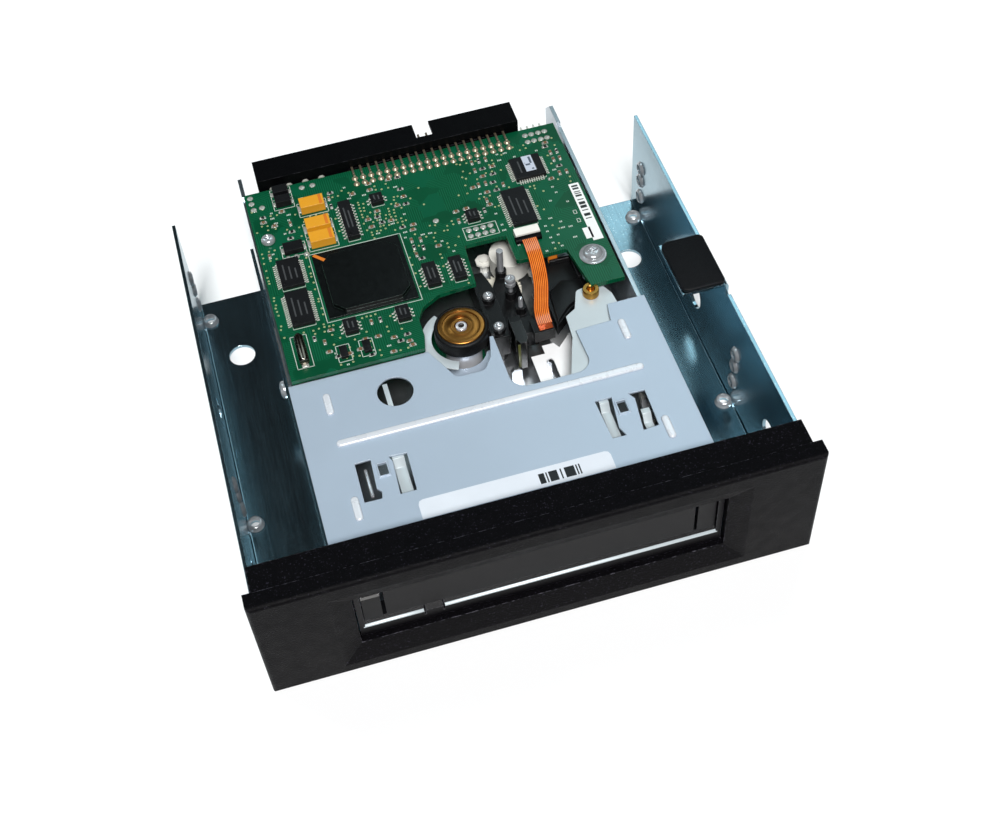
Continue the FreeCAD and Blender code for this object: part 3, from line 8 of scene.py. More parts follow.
import bpy
from mathutils import Matrix, Vector
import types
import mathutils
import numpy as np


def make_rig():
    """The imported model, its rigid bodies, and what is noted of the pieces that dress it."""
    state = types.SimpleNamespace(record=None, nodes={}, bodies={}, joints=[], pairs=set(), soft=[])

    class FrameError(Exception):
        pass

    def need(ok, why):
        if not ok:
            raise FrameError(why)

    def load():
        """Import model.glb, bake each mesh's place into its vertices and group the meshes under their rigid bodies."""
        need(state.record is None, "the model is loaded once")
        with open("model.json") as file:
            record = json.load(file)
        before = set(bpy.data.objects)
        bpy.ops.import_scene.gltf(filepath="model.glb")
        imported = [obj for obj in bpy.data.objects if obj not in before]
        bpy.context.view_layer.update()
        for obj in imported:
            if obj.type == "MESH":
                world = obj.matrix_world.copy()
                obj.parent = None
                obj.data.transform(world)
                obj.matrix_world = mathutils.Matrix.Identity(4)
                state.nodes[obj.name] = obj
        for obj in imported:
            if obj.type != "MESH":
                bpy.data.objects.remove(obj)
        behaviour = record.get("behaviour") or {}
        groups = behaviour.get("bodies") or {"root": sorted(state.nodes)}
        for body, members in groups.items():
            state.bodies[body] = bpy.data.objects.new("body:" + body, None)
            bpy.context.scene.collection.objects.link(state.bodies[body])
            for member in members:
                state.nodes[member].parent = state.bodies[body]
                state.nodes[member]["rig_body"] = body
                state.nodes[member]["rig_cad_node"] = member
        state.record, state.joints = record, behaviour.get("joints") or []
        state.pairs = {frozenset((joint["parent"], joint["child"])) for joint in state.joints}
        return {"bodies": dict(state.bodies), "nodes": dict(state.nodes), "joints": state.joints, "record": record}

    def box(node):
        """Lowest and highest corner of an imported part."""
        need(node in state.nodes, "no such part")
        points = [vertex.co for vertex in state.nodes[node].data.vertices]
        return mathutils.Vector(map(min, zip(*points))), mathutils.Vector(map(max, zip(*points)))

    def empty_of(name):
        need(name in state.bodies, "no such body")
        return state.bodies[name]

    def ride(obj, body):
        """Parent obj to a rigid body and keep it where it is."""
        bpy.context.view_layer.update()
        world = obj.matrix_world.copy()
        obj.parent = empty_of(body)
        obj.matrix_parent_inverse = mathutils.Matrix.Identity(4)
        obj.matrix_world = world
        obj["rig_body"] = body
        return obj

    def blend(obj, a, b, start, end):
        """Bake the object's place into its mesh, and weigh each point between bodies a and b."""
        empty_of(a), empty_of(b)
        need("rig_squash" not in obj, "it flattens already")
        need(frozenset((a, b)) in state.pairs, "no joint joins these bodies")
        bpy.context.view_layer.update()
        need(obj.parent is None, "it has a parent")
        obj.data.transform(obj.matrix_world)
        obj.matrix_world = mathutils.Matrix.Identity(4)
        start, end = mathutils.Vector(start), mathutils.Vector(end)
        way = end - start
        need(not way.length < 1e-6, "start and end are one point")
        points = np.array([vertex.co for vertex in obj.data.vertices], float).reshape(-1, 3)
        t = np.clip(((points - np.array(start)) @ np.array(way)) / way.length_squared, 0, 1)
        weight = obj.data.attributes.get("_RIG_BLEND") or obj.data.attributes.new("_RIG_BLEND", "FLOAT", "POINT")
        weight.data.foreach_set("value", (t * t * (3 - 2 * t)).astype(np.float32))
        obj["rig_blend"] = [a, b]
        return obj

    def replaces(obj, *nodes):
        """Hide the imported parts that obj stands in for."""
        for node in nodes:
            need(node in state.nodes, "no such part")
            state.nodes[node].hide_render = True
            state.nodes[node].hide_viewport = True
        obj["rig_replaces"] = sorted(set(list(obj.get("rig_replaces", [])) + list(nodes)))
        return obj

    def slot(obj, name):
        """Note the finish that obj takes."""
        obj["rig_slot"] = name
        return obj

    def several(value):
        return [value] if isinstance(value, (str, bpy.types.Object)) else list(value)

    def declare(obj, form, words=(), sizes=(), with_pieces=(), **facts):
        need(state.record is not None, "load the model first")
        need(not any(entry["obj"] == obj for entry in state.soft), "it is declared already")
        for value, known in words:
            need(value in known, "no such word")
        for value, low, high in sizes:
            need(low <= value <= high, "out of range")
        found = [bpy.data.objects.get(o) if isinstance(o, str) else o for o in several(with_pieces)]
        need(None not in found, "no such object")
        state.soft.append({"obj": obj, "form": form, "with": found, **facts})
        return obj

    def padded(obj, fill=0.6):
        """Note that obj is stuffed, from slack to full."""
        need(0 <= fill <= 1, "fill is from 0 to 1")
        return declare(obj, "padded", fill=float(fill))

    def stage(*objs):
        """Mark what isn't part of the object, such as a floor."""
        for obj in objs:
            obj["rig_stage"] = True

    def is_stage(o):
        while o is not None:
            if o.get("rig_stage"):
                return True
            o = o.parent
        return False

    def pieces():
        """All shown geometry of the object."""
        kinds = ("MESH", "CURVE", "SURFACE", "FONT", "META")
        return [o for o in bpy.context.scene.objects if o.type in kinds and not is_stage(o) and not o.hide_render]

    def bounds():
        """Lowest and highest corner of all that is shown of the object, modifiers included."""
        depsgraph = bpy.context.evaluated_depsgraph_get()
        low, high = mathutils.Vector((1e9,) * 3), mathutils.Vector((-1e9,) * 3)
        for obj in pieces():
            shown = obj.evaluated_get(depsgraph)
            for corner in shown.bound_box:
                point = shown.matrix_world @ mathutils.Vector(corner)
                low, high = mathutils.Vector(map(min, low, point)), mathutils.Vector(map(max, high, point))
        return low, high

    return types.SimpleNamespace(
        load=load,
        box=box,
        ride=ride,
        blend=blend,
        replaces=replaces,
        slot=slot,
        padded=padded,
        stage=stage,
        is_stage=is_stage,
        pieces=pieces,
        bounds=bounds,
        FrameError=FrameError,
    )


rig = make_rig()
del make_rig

bl_info = {
    "name": "Tape drive dressing",
    "version": (1, 0, 0),
    "blender": (4, 5, 0),
    "location": "View3D > Sidebar > Tape drive",
    "description": "Finishes and fine pieces for a data tape drive",
    "category": "Object",
}

MM = 0.001
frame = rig.load()
NODES = frame["nodes"]
CAD_LOW, CAD_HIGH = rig.bounds()
FRONT = CAD_LOW.y
BOARD_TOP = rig.box("circuit_board")[1].z / MM
COVER_TOP = 33.5                 # the sheet itself, below its beads
CAPSTAN = (-1.0, 75.2)           # axis of the capstan
BIG_SCREW, SMALL_SCREW = (42.3, 90.1), (-46.4, 125.9)   # screws that hold the board
SMOOTH_ANGLE = math.radians(40)  # faces that meet at less than this are smoothed
MERGE = 0.002 * MM               # corners nearer than this become one


def at(x, y, z):
    """A point given in millimetres from the bezel's front face, as a point of the frame."""
    return Vector((x * MM, FRONT + y * MM, z * MM))


def rgb(red, green, blue):
    """A screen colour, 0 to 255, as the linear colour that shaders use."""
    values = []
    for level in (red, green, blue):
        share = level / 255
        values.append(share / 12.92 if share <= 0.04045 else ((share + 0.055) / 1.055) ** 2.4)
    return tuple(values) + (1.0,)


# ------------------------------------------------------------------ settings

class TapeDriveSizes(bpy.types.PropertyGroup):
    """Sizes of the fine pieces that a user may change."""

    lead_wide: bpy.props.FloatProperty(
        name="Lead width", description="Width of one chip lead", default=0.32 * MM,
        min=0.1 * MM, max=0.5 * MM, subtype="DISTANCE", unit="LENGTH", precision=5)
    via_round: bpy.props.FloatProperty(
        name="Via radius", description="Radius of a plated hole", default=0.3 * MM,
        min=0.1 * MM, max=0.6 * MM, subtype="DISTANCE", unit="LENGTH", precision=5)
    silk_wide: bpy.props.FloatProperty(
        name="Print line width", description="Width of a printed line", default=0.2 * MM,
        min=0.05 * MM, max=0.5 * MM, subtype="DISTANCE", unit="LENGTH", precision=5)
    ribbon_wide: bpy.props.FloatProperty(
        name="Ribbon width", description="Width of the head's flat cable", default=4.3 * MM,
        min=2.0 * MM, max=6.0 * MM, subtype="DISTANCE", unit="LENGTH", precision=5)


class TapeDriveColours(bpy.types.PropertyGroup):
    """Main colours that a user may change."""

    cover: bpy.props.FloatVectorProperty(
        name="Cover", description="Paint of the top cover", subtype="COLOR", size=4,
        default=rgb(178, 193, 209), min=0, max=1)
    board: bpy.props.FloatVectorProperty(
        name="Board", description="Solder mask of the circuit board", subtype="COLOR", size=4,
        default=rgb(0, 78, 48), min=0, max=1)
    bezel: bpy.props.FloatVectorProperty(
        name="Bezel", description="Moulded plastic of the bezel", subtype="COLOR", size=4,
        default=rgb(9, 8, 11), min=0, max=1)
    zinc: bpy.props.FloatVectorProperty(
        name="Zinc", description="Plating of the bracket", subtype="COLOR", size=4,
        default=rgb(142, 170, 182), min=0, max=1)


# ------------------------------------------------------------------ shader groups

def add_node(tree, kind, links=(), **settings):
    """A node with its settings; links and plain values go to the sockets named in links."""
    node = tree.nodes.new(kind)
    for key, value in settings.items():
        setattr(node, key, value)
    for socket, source in dict(links).items():
        if isinstance(source, bpy.types.NodeSocket):
            tree.links.new(source, node.inputs[socket])
        else:
            node.inputs[socket].default_value = source
    return node


def calc(tree, operation, *values, clamp=False):
    """One sum of sockets and plain numbers."""
    node = tree.nodes.new("ShaderNodeMath")
    node.operation = operation
    node.use_clamp = clamp
    for index, value in enumerate(values):
        if isinstance(value, bpy.types.NodeSocket):
            tree.links.new(value, node.inputs[index])
        else:
            node.inputs[index].default_value = value
    return node.outputs[0]


def blended(tree, share, first, second, mode="MIX"):
    """Two colours mixed by a share."""
    node = tree.nodes.new("ShaderNodeMix")
    node.data_type = "RGBA"
    node.blend_type = mode
    for socket, value in ((0, share), (6, first), (7, second)):
        if isinstance(value, bpy.types.NodeSocket):
            tree.links.new(value, node.inputs[socket])
        else:
            node.inputs[socket].default_value = value
    return node.outputs[2]


def effect(name, inputs, outputs, fill):
    """A shader node group, built once, with named inputs and outputs."""
    if name in bpy.data.node_groups:
        return bpy.data.node_groups[name]
    group = bpy.data.node_groups.new(name, "ShaderNodeTree")
    for label, kind, default in inputs:
        socket = group.interface.new_socket(name=label, in_out="INPUT", socket_type=kind)
        socket.default_value = default
    for label, kind in outputs:
        group.interface.new_socket(name=label, in_out="OUTPUT", socket_type=kind)
    entry = group.nodes.new("NodeGroupInput")
    way_out = group.nodes.new("NodeGroupOutput")
    for label, socket in fill(group, entry.outputs).items():
        group.links.new(socket, way_out.inputs[label])
    return group


NUMBER, DIRECTION = "NodeSocketFloat", "NodeSocketVector"
SPECK_SIZE = 0.16                # share of a cell that a bright speck fills; the specks are painted glints
FLECK_LEVEL = 0.655              # grain above this shows as a bright fleck, a painted glint


def place_socket(tree):
    """Object coordinates."""
    return add_node(tree, "ShaderNodeTexCoord").outputs["Object"]


def fill_edge_wear(tree, given):
    """A mask that is 1 on outer edges, broken up by noise, and the rounded normal."""
    rounded = add_node(tree, "ShaderNodeBevel", {"Radius": given["Radius"]}, samples=4)
    plain = add_node(tree, "ShaderNodeNewGeometry").outputs["Normal"]
    same = add_node(tree, "ShaderNodeVectorMath",
                    {0: rounded.outputs[0], 1: plain}, operation="DOT_PRODUCT").outputs["Value"]
    turned_away = calc(tree, "MULTIPLY", calc(tree, "SUBTRACT", 1.0, same), 7.0, clamp=True)
    patches = add_node(tree, "ShaderNodeTexNoise",
                       {"Vector": place_socket(tree), "Scale": given["Patch scale"],
                        "Detail": 5.0}).outputs["Fac"]
    broken = calc(tree, "MULTIPLY", calc(tree, "SUBTRACT", patches, given["Wear level"]), 6.0,
                  clamp=True)
    return {"Mask": calc(tree, "MULTIPLY", turned_away, broken, clamp=True),
            "Normal": rounded.outputs[0]}


def fill_grain(tree, given):
    """Fine surface grain: a height, and a value for roughness."""
    fine = add_node(tree, "ShaderNodeTexNoise",
                    {"Vector": place_socket(tree), "Scale": given["Scale"], "Detail": 3.0,
                     "Roughness": 0.6}).outputs["Fac"]
    coarse = add_node(tree, "ShaderNodeTexNoise",
                      {"Vector": place_socket(tree), "Scale": given["Coarse scale"],
                       "Detail": 4.0}).outputs["Fac"]
    return {"Height": fine, "Cloud": coarse}


def fill_brushed(tree, given):
    """Long fine streaks along one direction, and a mask of small specks that the zinc finish paints bright as painted
    glints.
    """
    stretch = add_node(tree, "ShaderNodeMapping",
                       {"Vector": place_socket(tree), "Scale": given["Stretch"]})
    streaks = add_node(tree, "ShaderNodeTexNoise",
                       {"Vector": stretch.outputs[0], "Scale": 1.0, "Detail": 4.0,
                        "Roughness": 0.65}).outputs["Fac"]
    specks = add_node(tree, "ShaderNodeTexVoronoi",
                      {"Vector": place_socket(tree), "Scale": given["Speck scale"]},
                      feature="F1").outputs["Distance"]
    return {"Streaks": streaks, "Specks": calc(tree, "LESS_THAN", specks, SPECK_SIZE)}


def fill_spangle(tree, given):
    """The crystal patches of a zinc coating, each a little lighter or darker."""
    cells = add_node(tree, "ShaderNodeTexVoronoi",
                     {"Vector": place_socket(tree), "Scale": given["Scale"]},
                     feature="F1").outputs["Color"]
    split = add_node(tree, "ShaderNodeSeparateColor", {"Color": cells})
    return {"Shade": split.outputs[0]}


def fill_traces(tree, given):
    """Copper tracks under solder mask: patches of parallel lines in four directions."""
    place = place_socket(tree)
    warped = add_node(tree, "ShaderNodeTexVoronoi", {"Vector": place, "Scale": given["Patches"]},
                      feature="F1", distance="MANHATTAN")
    pick = add_node(tree, "ShaderNodeSeparateColor", {"Color": warped.outputs["Color"]})
    axes = add_node(tree, "ShaderNodeSeparateXYZ", {"Vector": place})
    x, y = axes.outputs["X"], axes.outputs["Y"]
    slant = calc(tree, "MULTIPLY", calc(tree, "ADD", x, y), 0.7071)
    first = add_node(tree, "ShaderNodeMix", {0: calc(tree, "GREATER_THAN", pick.outputs[0], 0.45),
                                             2: x, 3: y}, data_type="FLOAT").outputs[0]
    run = add_node(tree, "ShaderNodeMix", {0: calc(tree, "GREATER_THAN", pick.outputs[0], 0.82),
                                           2: first, 3: slant}, data_type="FLOAT").outputs[0]
    phase = calc(tree, "FRACT", calc(tree, "MULTIPLY", run, given["Pitch"]))
    line = calc(tree, "LESS_THAN", calc(tree, "ABSOLUTE", calc(tree, "SUBTRACT", phase, 0.5)), 0.2)
    busy = calc(tree, "GREATER_THAN", pick.outputs[1], 0.3)
    plane = calc(tree, "LESS_THAN", pick.outputs[1], 0.12)
    return {"Tracks": calc(tree, "MULTIPLY", line, busy), "Copper plane": plane}


def fill_bars(tree, given):
    """Bars of uneven width on a label, as plain filler."""
    place = add_node(tree, "ShaderNodeMapping",
                     {"Vector": place_socket(tree), "Scale": given["Stretch"]})
    cells = add_node(tree, "ShaderNodeTexWhiteNoise",
                     {"Vector": add_node(tree, "ShaderNodeVectorMath",
                                         {0: place.outputs[0]}, operation="FLOOR").outputs[0]},
                     noise_dimensions="3D").outputs["Value"]
    return {"Ink": calc(tree, "GREATER_THAN", cells, given["Share"])}


def fill_rings(tree, given):
    """Fine turning marks: rings about an upright axis through a centre."""
    moved = add_node(tree, "ShaderNodeVectorMath", {0: place_socket(tree), 1: given["Centre"]},
                     operation="SUBTRACT").outputs[0]
    axes = add_node(tree, "ShaderNodeSeparateXYZ", {"Vector": moved})
    far = calc(tree, "SQRT", calc(tree, "ADD", calc(tree, "POWER", axes.outputs["X"], 2.0),
                                  calc(tree, "POWER", axes.outputs["Y"], 2.0)))
    ring = add_node(tree, "ShaderNodeTexNoise",
                    {"W": calc(tree, "MULTIPLY", far, given["Fineness"]), "Scale": 1.0,
                     "Detail": 3.0}, noise_dimensions="1D").outputs["Fac"]
    return {"Rings": ring}


EFFECTS = {
    "edge_wear": ([("Radius", NUMBER, 0.0003), ("Patch scale", NUMBER, 900.0),
                   ("Wear level", NUMBER, 0.45)],
                  [("Mask", NUMBER), ("Normal", DIRECTION)], fill_edge_wear),
    "grain": ([("Scale", NUMBER, 4000.0), ("Coarse scale", NUMBER, 120.0)],
              [("Height", NUMBER), ("Cloud", NUMBER)], fill_grain),
    "brushed": ([("Stretch", DIRECTION, (4000.0, 60.0, 4000.0)), ("Speck scale", NUMBER, 900.0)],
                [("Streaks", NUMBER), ("Specks", NUMBER)], fill_brushed),
    "spangle": ([("Scale", NUMBER, 500.0)], [("Shade", NUMBER)], fill_spangle),
    "traces": ([("Patches", NUMBER, 160.0), ("Pitch", NUMBER, 1500.0)],
               [("Tracks", NUMBER), ("Copper plane", NUMBER)], fill_traces),
    "bars": ([("Stretch", DIRECTION, (3000.0, 100.0, 1.0)), ("Share", NUMBER, 0.5)],
             [("Ink", NUMBER)], fill_bars),
    "rings": ([("Centre", DIRECTION, (0.0, 0.0, 0.0)), ("Fineness", NUMBER, 9000.0)],
              [("Rings", NUMBER)], fill_rings),
}


def use_effect(tree, name, **values):
    """Place a shared group in a material, with its own values, and give its outputs."""
    inputs, outputs, fill = EFFECTS[name]
    node = tree.nodes.new("ShaderNodeGroup")
    node.node_tree = effect(name, inputs, outputs, fill)
    for label, value in values.items():
        node.inputs[label.replace("_", " ").capitalize()].default_value = value
    return node.outputs


# ------------------------------------------------------------------ finishes

def new_material(name, roughness, metallic=0.0, coat=0.0, specular=0.5):
    """A material with its shader's constant values set."""
    material = bpy.data.materials.new(name)
    material.use_nodes = True
    tree = material.node_tree
    shader = tree.nodes["Principled BSDF"]
    shader.inputs["Roughness"].default_value = roughness
    shader.inputs["Metallic"].default_value = metallic
    shader.inputs["Coat Weight"].default_value = coat
    shader.inputs["Coat Roughness"].default_value = 0.12
    shader.inputs["Specular IOR Level"].default_value = specular
    return material, tree, shader


def relieve(tree, shader, strength, distance, height, normal=None):
    """Fine relief on a material, over the softened normal where one is given."""
    links = {"Strength": strength, "Distance": distance, "Height": height}
    if normal is not None:
        links["Normal"] = normal
    relief = add_node(tree, "ShaderNodeBump", links)
    tree.links.new(relief.outputs[0], shader.inputs["Normal"])


def vary_gloss(tree, shader, start, mask, spread):
    """Roughness that rises from a start with a mask."""
    uneven = calc(tree, "ADD", start, calc(tree, "MULTIPLY", mask, spread), clamp=True)
    tree.links.new(uneven, shader.inputs["Roughness"])


def scaled(colour, share):
    """A colour made darker or lighter, and opaque."""
    return tuple(min(1.0, part * share) for part in colour[:3]) + (1.0,)


def finish(name, colour, roughness=0.5, metallic=0.0, coat=0.0, specular=0.5, grain=4000.0,
           bump=0.08, shade=0.82, edge=None, edge_radius=0.15, wear_level=0.45, spread=0.12,
           coarse=130.0, fleck=None):
    """A finish with grain, uneven colour and gloss, softened edges, a colour along the edges that is wear on most
    finishes and a painted sheen on the foam, and bright flecks that are painted glints where given.
    """
    material, tree, shader = new_material(name, roughness, metallic, coat, specular)
    marks = use_effect(tree, "grain", scale=grain, coarse_scale=coarse)
    worn = use_effect(tree, "edge_wear", radius=edge_radius * MM, wear_level=wear_level)
    dark = scaled(colour, shade)
    base = blended(tree, marks["Cloud"], dark, colour)
    # Bright flecks where the grain is high: painted glints on grained plastic.
    if fleck is not None:
        base = blended(tree, calc(tree, "GREATER_THAN", marks["Height"], FLECK_LEVEL), base, fleck)
    # Colour along the edges: wear on most finishes, a painted sheen on the foam.
    if edge is not None:
        base = blended(tree, worn["Mask"], base, edge)
    tree.links.new(base, shader.inputs["Base Color"])
    vary_gloss(tree, shader, roughness - spread / 2, marks["Cloud"], spread)
    relieve(tree, shader, bump, 0.2 * MM, marks["Height"], worn["Normal"])
    return material


def zinc_finish(name, colour, roughness, stretch):
    """Bright zinc plating: streaks from rolling, crystal patches, bright specks that are painted glints, and a bluish
    tint.
    """
    material, tree, shader = new_material(name, roughness, 1.0)
    marks = use_effect(tree, "brushed", stretch=stretch)
    cells = use_effect(tree, "spangle", scale=500.0)
    worn = use_effect(tree, "edge_wear", radius=0.2 * MM)
    cloud = use_effect(tree, "grain", scale=3500.0, coarse_scale=60.0)
    dark = scaled(colour, 0.62)
    pale = scaled(colour, 1.25)
    base = blended(tree, cloud["Cloud"], dark, pale)
    base = blended(tree, calc(tree, "MULTIPLY", cells["Shade"], 0.22), base, pale)
    base = blended(tree, calc(tree, "MULTIPLY", marks["Streaks"], 0.25), base, dark)
    # Painted glints: small near-white specks that stand in for sparkle on the plating.
    base = blended(tree, calc(tree, "MULTIPLY", marks["Specks"], 0.35), base, rgb(240, 245, 245))
    base = blended(tree, worn["Mask"], base, rgb(235, 240, 240))
    tree.links.new(base, shader.inputs["Base Color"])
    vary_gloss(tree, shader, roughness - 0.08, marks["Streaks"], 0.2)
    relieve(tree, shader, 0.04, 0.1 * MM, marks["Streaks"], worn["Normal"])
    return material


def board_finish(name, colour):
    """Green solder mask over copper tracks and planes, with a soft gloss."""
    material, tree, shader = new_material(name, 0.36, 0.0, 0.12, 0.18)
    tracks = use_effect(tree, "traces")
    fine = use_effect(tree, "grain", scale=2500.0, coarse_scale=90.0)
    worn = use_effect(tree, "edge_wear", radius=0.1 * MM)
    ground = blended(tree, fine["Cloud"], scaled(colour, 0.55), colour)
    ground = blended(tree, calc(tree, "MULTIPLY", tracks["Copper plane"], 0.6), ground,
                     rgb(4, 86, 58))
    ground = blended(tree, calc(tree, "MULTIPLY", tracks["Tracks"], 0.7), ground,
                     rgb(14, 96, 64))
    ground = blended(tree, calc(tree, "MULTIPLY", worn["Mask"], 0.6), ground, rgb(150, 160, 110))
    tree.links.new(ground, shader.inputs["Base Color"])
    relieve(tree, shader, 0.25, 0.05 * MM, tracks["Tracks"])
    return material


def turned_metal(name, colour, centre, roughness):
    """Metal turned on a lathe, with rings about its own centre."""
    material, tree, shader = new_material(name, roughness, 1.0)
    marks = use_effect(tree, "rings", centre=centre)
    worn = use_effect(tree, "edge_wear", radius=0.08 * MM)
    cloud = use_effect(tree, "grain", scale=3000.0, coarse_scale=300.0)
    dark = scaled(colour, 0.55)
    base = blended(tree, calc(tree, "MULTIPLY", marks["Rings"], 0.5), colour, dark)
    base = blended(tree, calc(tree, "MULTIPLY", cloud["Cloud"], 0.3), base, dark)
    tree.links.new(base, shader.inputs["Base Color"])
    vary_gloss(tree, shader, roughness - 0.08, marks["Rings"], 0.22)
    relieve(tree, shader, 0.25, 0.06 * MM, marks["Rings"], worn["Normal"])
    return material


def label_finish(name, paper, ink, stretch, share, low, high):
    """Paper with a block of plain bars between two corners."""
    material, tree, shader = new_material(name, 0.45)
    bars = use_effect(tree, "bars", share=share, stretch=stretch)
    axes = add_node(tree, "ShaderNodeSeparateXYZ", {"Vector": place_socket(tree)})
    inside = bars["Ink"]
    for axis, least, most in (("X", low.x, high.x), ("Y", low.y, high.y)):
        for side, edge in (("GREATER_THAN", least), ("LESS_THAN", most)):
            inside = calc(tree, "MULTIPLY", inside, calc(tree, side, axes.outputs[axis], edge))
    cloud = use_effect(tree, "grain", scale=3000.0, coarse_scale=200.0)
    sheet = blended(tree, cloud["Cloud"], scaled(paper, 0.9), paper)
    tree.links.new(blended(tree, inside, sheet, ink), shader.inputs["Base Color"])
    relieve(tree, shader, 0.05, 0.05 * MM, cloud["Height"])
    return material


def ribbon_finish(name):
    """Amber film with copper lines that run along the ribbon's own length."""
    material, tree, shader = new_material(name, 0.22, 0.0, 0.5)
    own = add_node(tree, "ShaderNodeUVMap").outputs[0]
    axes = add_node(tree, "ShaderNodeSeparateXYZ", {"Vector": own})
    across = calc(tree, "MULTIPLY", axes.outputs["X"], 8.0)
    phase = calc(tree, "ABSOLUTE", calc(tree, "SUBTRACT", calc(tree, "FRACT", across), 0.5))
    line = calc(tree, "LESS_THAN", phase, 0.27)
    cloud = use_effect(tree, "grain", scale=2500.0, coarse_scale=320.0)
    film = blended(tree, cloud["Cloud"], rgb(110, 26, 4), rgb(164, 58, 10))
    base = blended(tree, line, film, blended(tree, cloud["Cloud"], rgb(206, 92, 18),
                                             rgb(248, 150, 56)))
    tree.links.new(base, shader.inputs["Base Color"])
    relieve(tree, shader, 0.3, 0.06 * MM, line)
    return material


# ------------------------------------------------------------------ modelling

def clear_selection():
    """Leave edit mode and select nothing."""
    if bpy.context.object and bpy.context.object.mode == "EDIT":
        bpy.ops.object.mode_set(mode="OBJECT")
    bpy.ops.object.select_all(action="DESELECT")


def named(name):
    """Name the piece that was just made."""
    piece = bpy.context.object
    piece.name = name
    piece.data.name = name
    return piece


def settle():
    """Apply place, turn and size, so that the object sits at the origin."""
    bpy.ops.object.transform_apply(location=True, rotation=True, scale=True)


def soften(piece, width, segments=2):
    """Bevel the sharp edges and smooth the rest."""
    clear_selection()
    bpy.context.view_layer.objects.active = piece
    piece.select_set(True)
    if width:
        bevel = piece.modifiers.new("Bevel", "BEVEL")
        bevel.width = width * MM
        bevel.segments = segments
        bevel.limit_method = "ANGLE"
        bevel.angle_limit = math.radians(30)
        bpy.ops.object.modifier_apply(modifier=bevel.name)
    bpy.ops.object.shade_smooth_by_angle(angle=SMOOTH_ANGLE)
    return piece


def block(name, low, high, bevel=0.1, segments=2):
    """A box between two corners in millimetres, with softened edges."""
    clear_selection()
    start, end = at(*low), at(*high)
    bpy.ops.mesh.primitive_cube_add(size=1, location=(start + end) / 2, scale=end - start)
    piece = named(name)
    settle()
    return soften(piece, bevel, segments)


def outline(name, points, pull, bevel=0.0, segments=2):
    """A face drawn corner by corner, pulled along a direction in millimetres."""
    clear_selection()
    bpy.ops.mesh.primitive_plane_add(size=MM, location=at(*points[0]))
    piece = named(name)
    settle()
    bpy.ops.object.mode_set(mode="EDIT")
    bpy.ops.mesh.merge(type="CENTER")
    for first, second in zip(points, points[1:]):
        step = at(*second) - at(*first)
        bpy.ops.mesh.extrude_region_move(TRANSFORM_OT_translate={"value": step})
    bpy.ops.mesh.select_all(action="SELECT")
    bpy.ops.mesh.edge_face_add()
    bpy.ops.mesh.extrude_region_move(TRANSFORM_OT_translate={"value": Vector(pull) * MM})
    bpy.ops.mesh.select_all(action="SELECT")
    bpy.ops.mesh.normals_make_consistent(inside=False)
    bpy.ops.object.mode_set(mode="OBJECT")
    return soften(piece, bevel, segments)


def flat(name, points, z, thick=0.03):
    """A thin printed or plated shape on an upward face."""
    return outline(name, [(x, y, z) for x, y in points], (0, 0, thick))


def turned(name, profile, centre, steps=48, bevel=0.0):
    """A profile of (radius, height) turned about an upright axis through centre."""
    clear_selection()
    x, y = centre
    radius, height = profile[0]
    bpy.ops.mesh.primitive_plane_add(size=MM, location=at(x + radius, y, height))
    piece = named(name)
    settle()
    bpy.ops.object.mode_set(mode="EDIT")
    bpy.ops.mesh.merge(type="CENTER")
    for first, second in zip(profile, profile[1:]):
        step = Vector((second[0] - first[0], 0, second[1] - first[1])) * MM
        bpy.ops.mesh.extrude_region_move(TRANSFORM_OT_translate={"value": step})
    bpy.ops.mesh.select_all(action="SELECT")
    bpy.ops.mesh.spin(steps=steps, angle=2 * math.pi, center=at(x, y, 0), axis=(0, 0, 1))
    bpy.ops.mesh.select_all(action="SELECT")
    bpy.ops.mesh.remove_doubles(threshold=MERGE)
    bpy.ops.mesh.normals_make_consistent(inside=False)
    bpy.ops.object.mode_set(mode="OBJECT")
    return soften(piece, bevel)


def lay_along(piece, centre, direction):
    """Turn a piece made upright about centre so that it points along a direction."""
    turn = Vector((0, 0, 1)).rotation_difference(Vector(direction)).to_matrix().to_4x4()
    middle = at(*centre)
    piece.data.transform(Matrix.Translation(middle) @ turn @ Matrix.Translation(-middle))
    return piece


def stamp(piece, places, origin=(0, 0, 0)):
    """Copies of a piece made at origin, one at each (x, y, z, turn), joined into one object."""
    start = at(*origin)
    copies = []
    for x, y, z, turn in places:
        mesh = piece.data.copy()
        mesh.transform(Matrix.Translation(at(x, y, z)) @ Matrix.Rotation(turn, 4, "Z")
                       @ Matrix.Translation(-start))
        twin = bpy.data.objects.new(piece.name + "_copy", mesh)
        bpy.context.scene.collection.objects.link(twin)
        copies.append(twin)
    name = piece.name
    bpy.data.objects.remove(piece)
    return joined(name, copies)


def joined(name, pieces):
    """Several pieces made one."""
    clear_selection()
    for item in pieces:
        item.select_set(True)
    bpy.context.view_layer.objects.active = pieces[0]
    if len(pieces) > 1:
        bpy.ops.object.join()
    return named(name)


def paint(piece, material):
    """Give a piece one material."""
    piece.data.materials.clear()
    piece.data.materials.append(material)
    return piece


def fit(piece, slot, body="root", replaces=()):
    """Let a finished piece ride with its CAD body and say what it stands for."""
    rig.ride(piece, body)
    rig.slot(piece, slot)
    if replaces:
        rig.replaces(piece, *replaces)
    return piece


FINISH = {}


def dress(node, material):
    """A carried-over node gets its finish."""
    item = NODES[node]
    item.data.materials.clear()
    item.data.materials.append(material)


# ------------------------------------------------------------------ finishes for every node

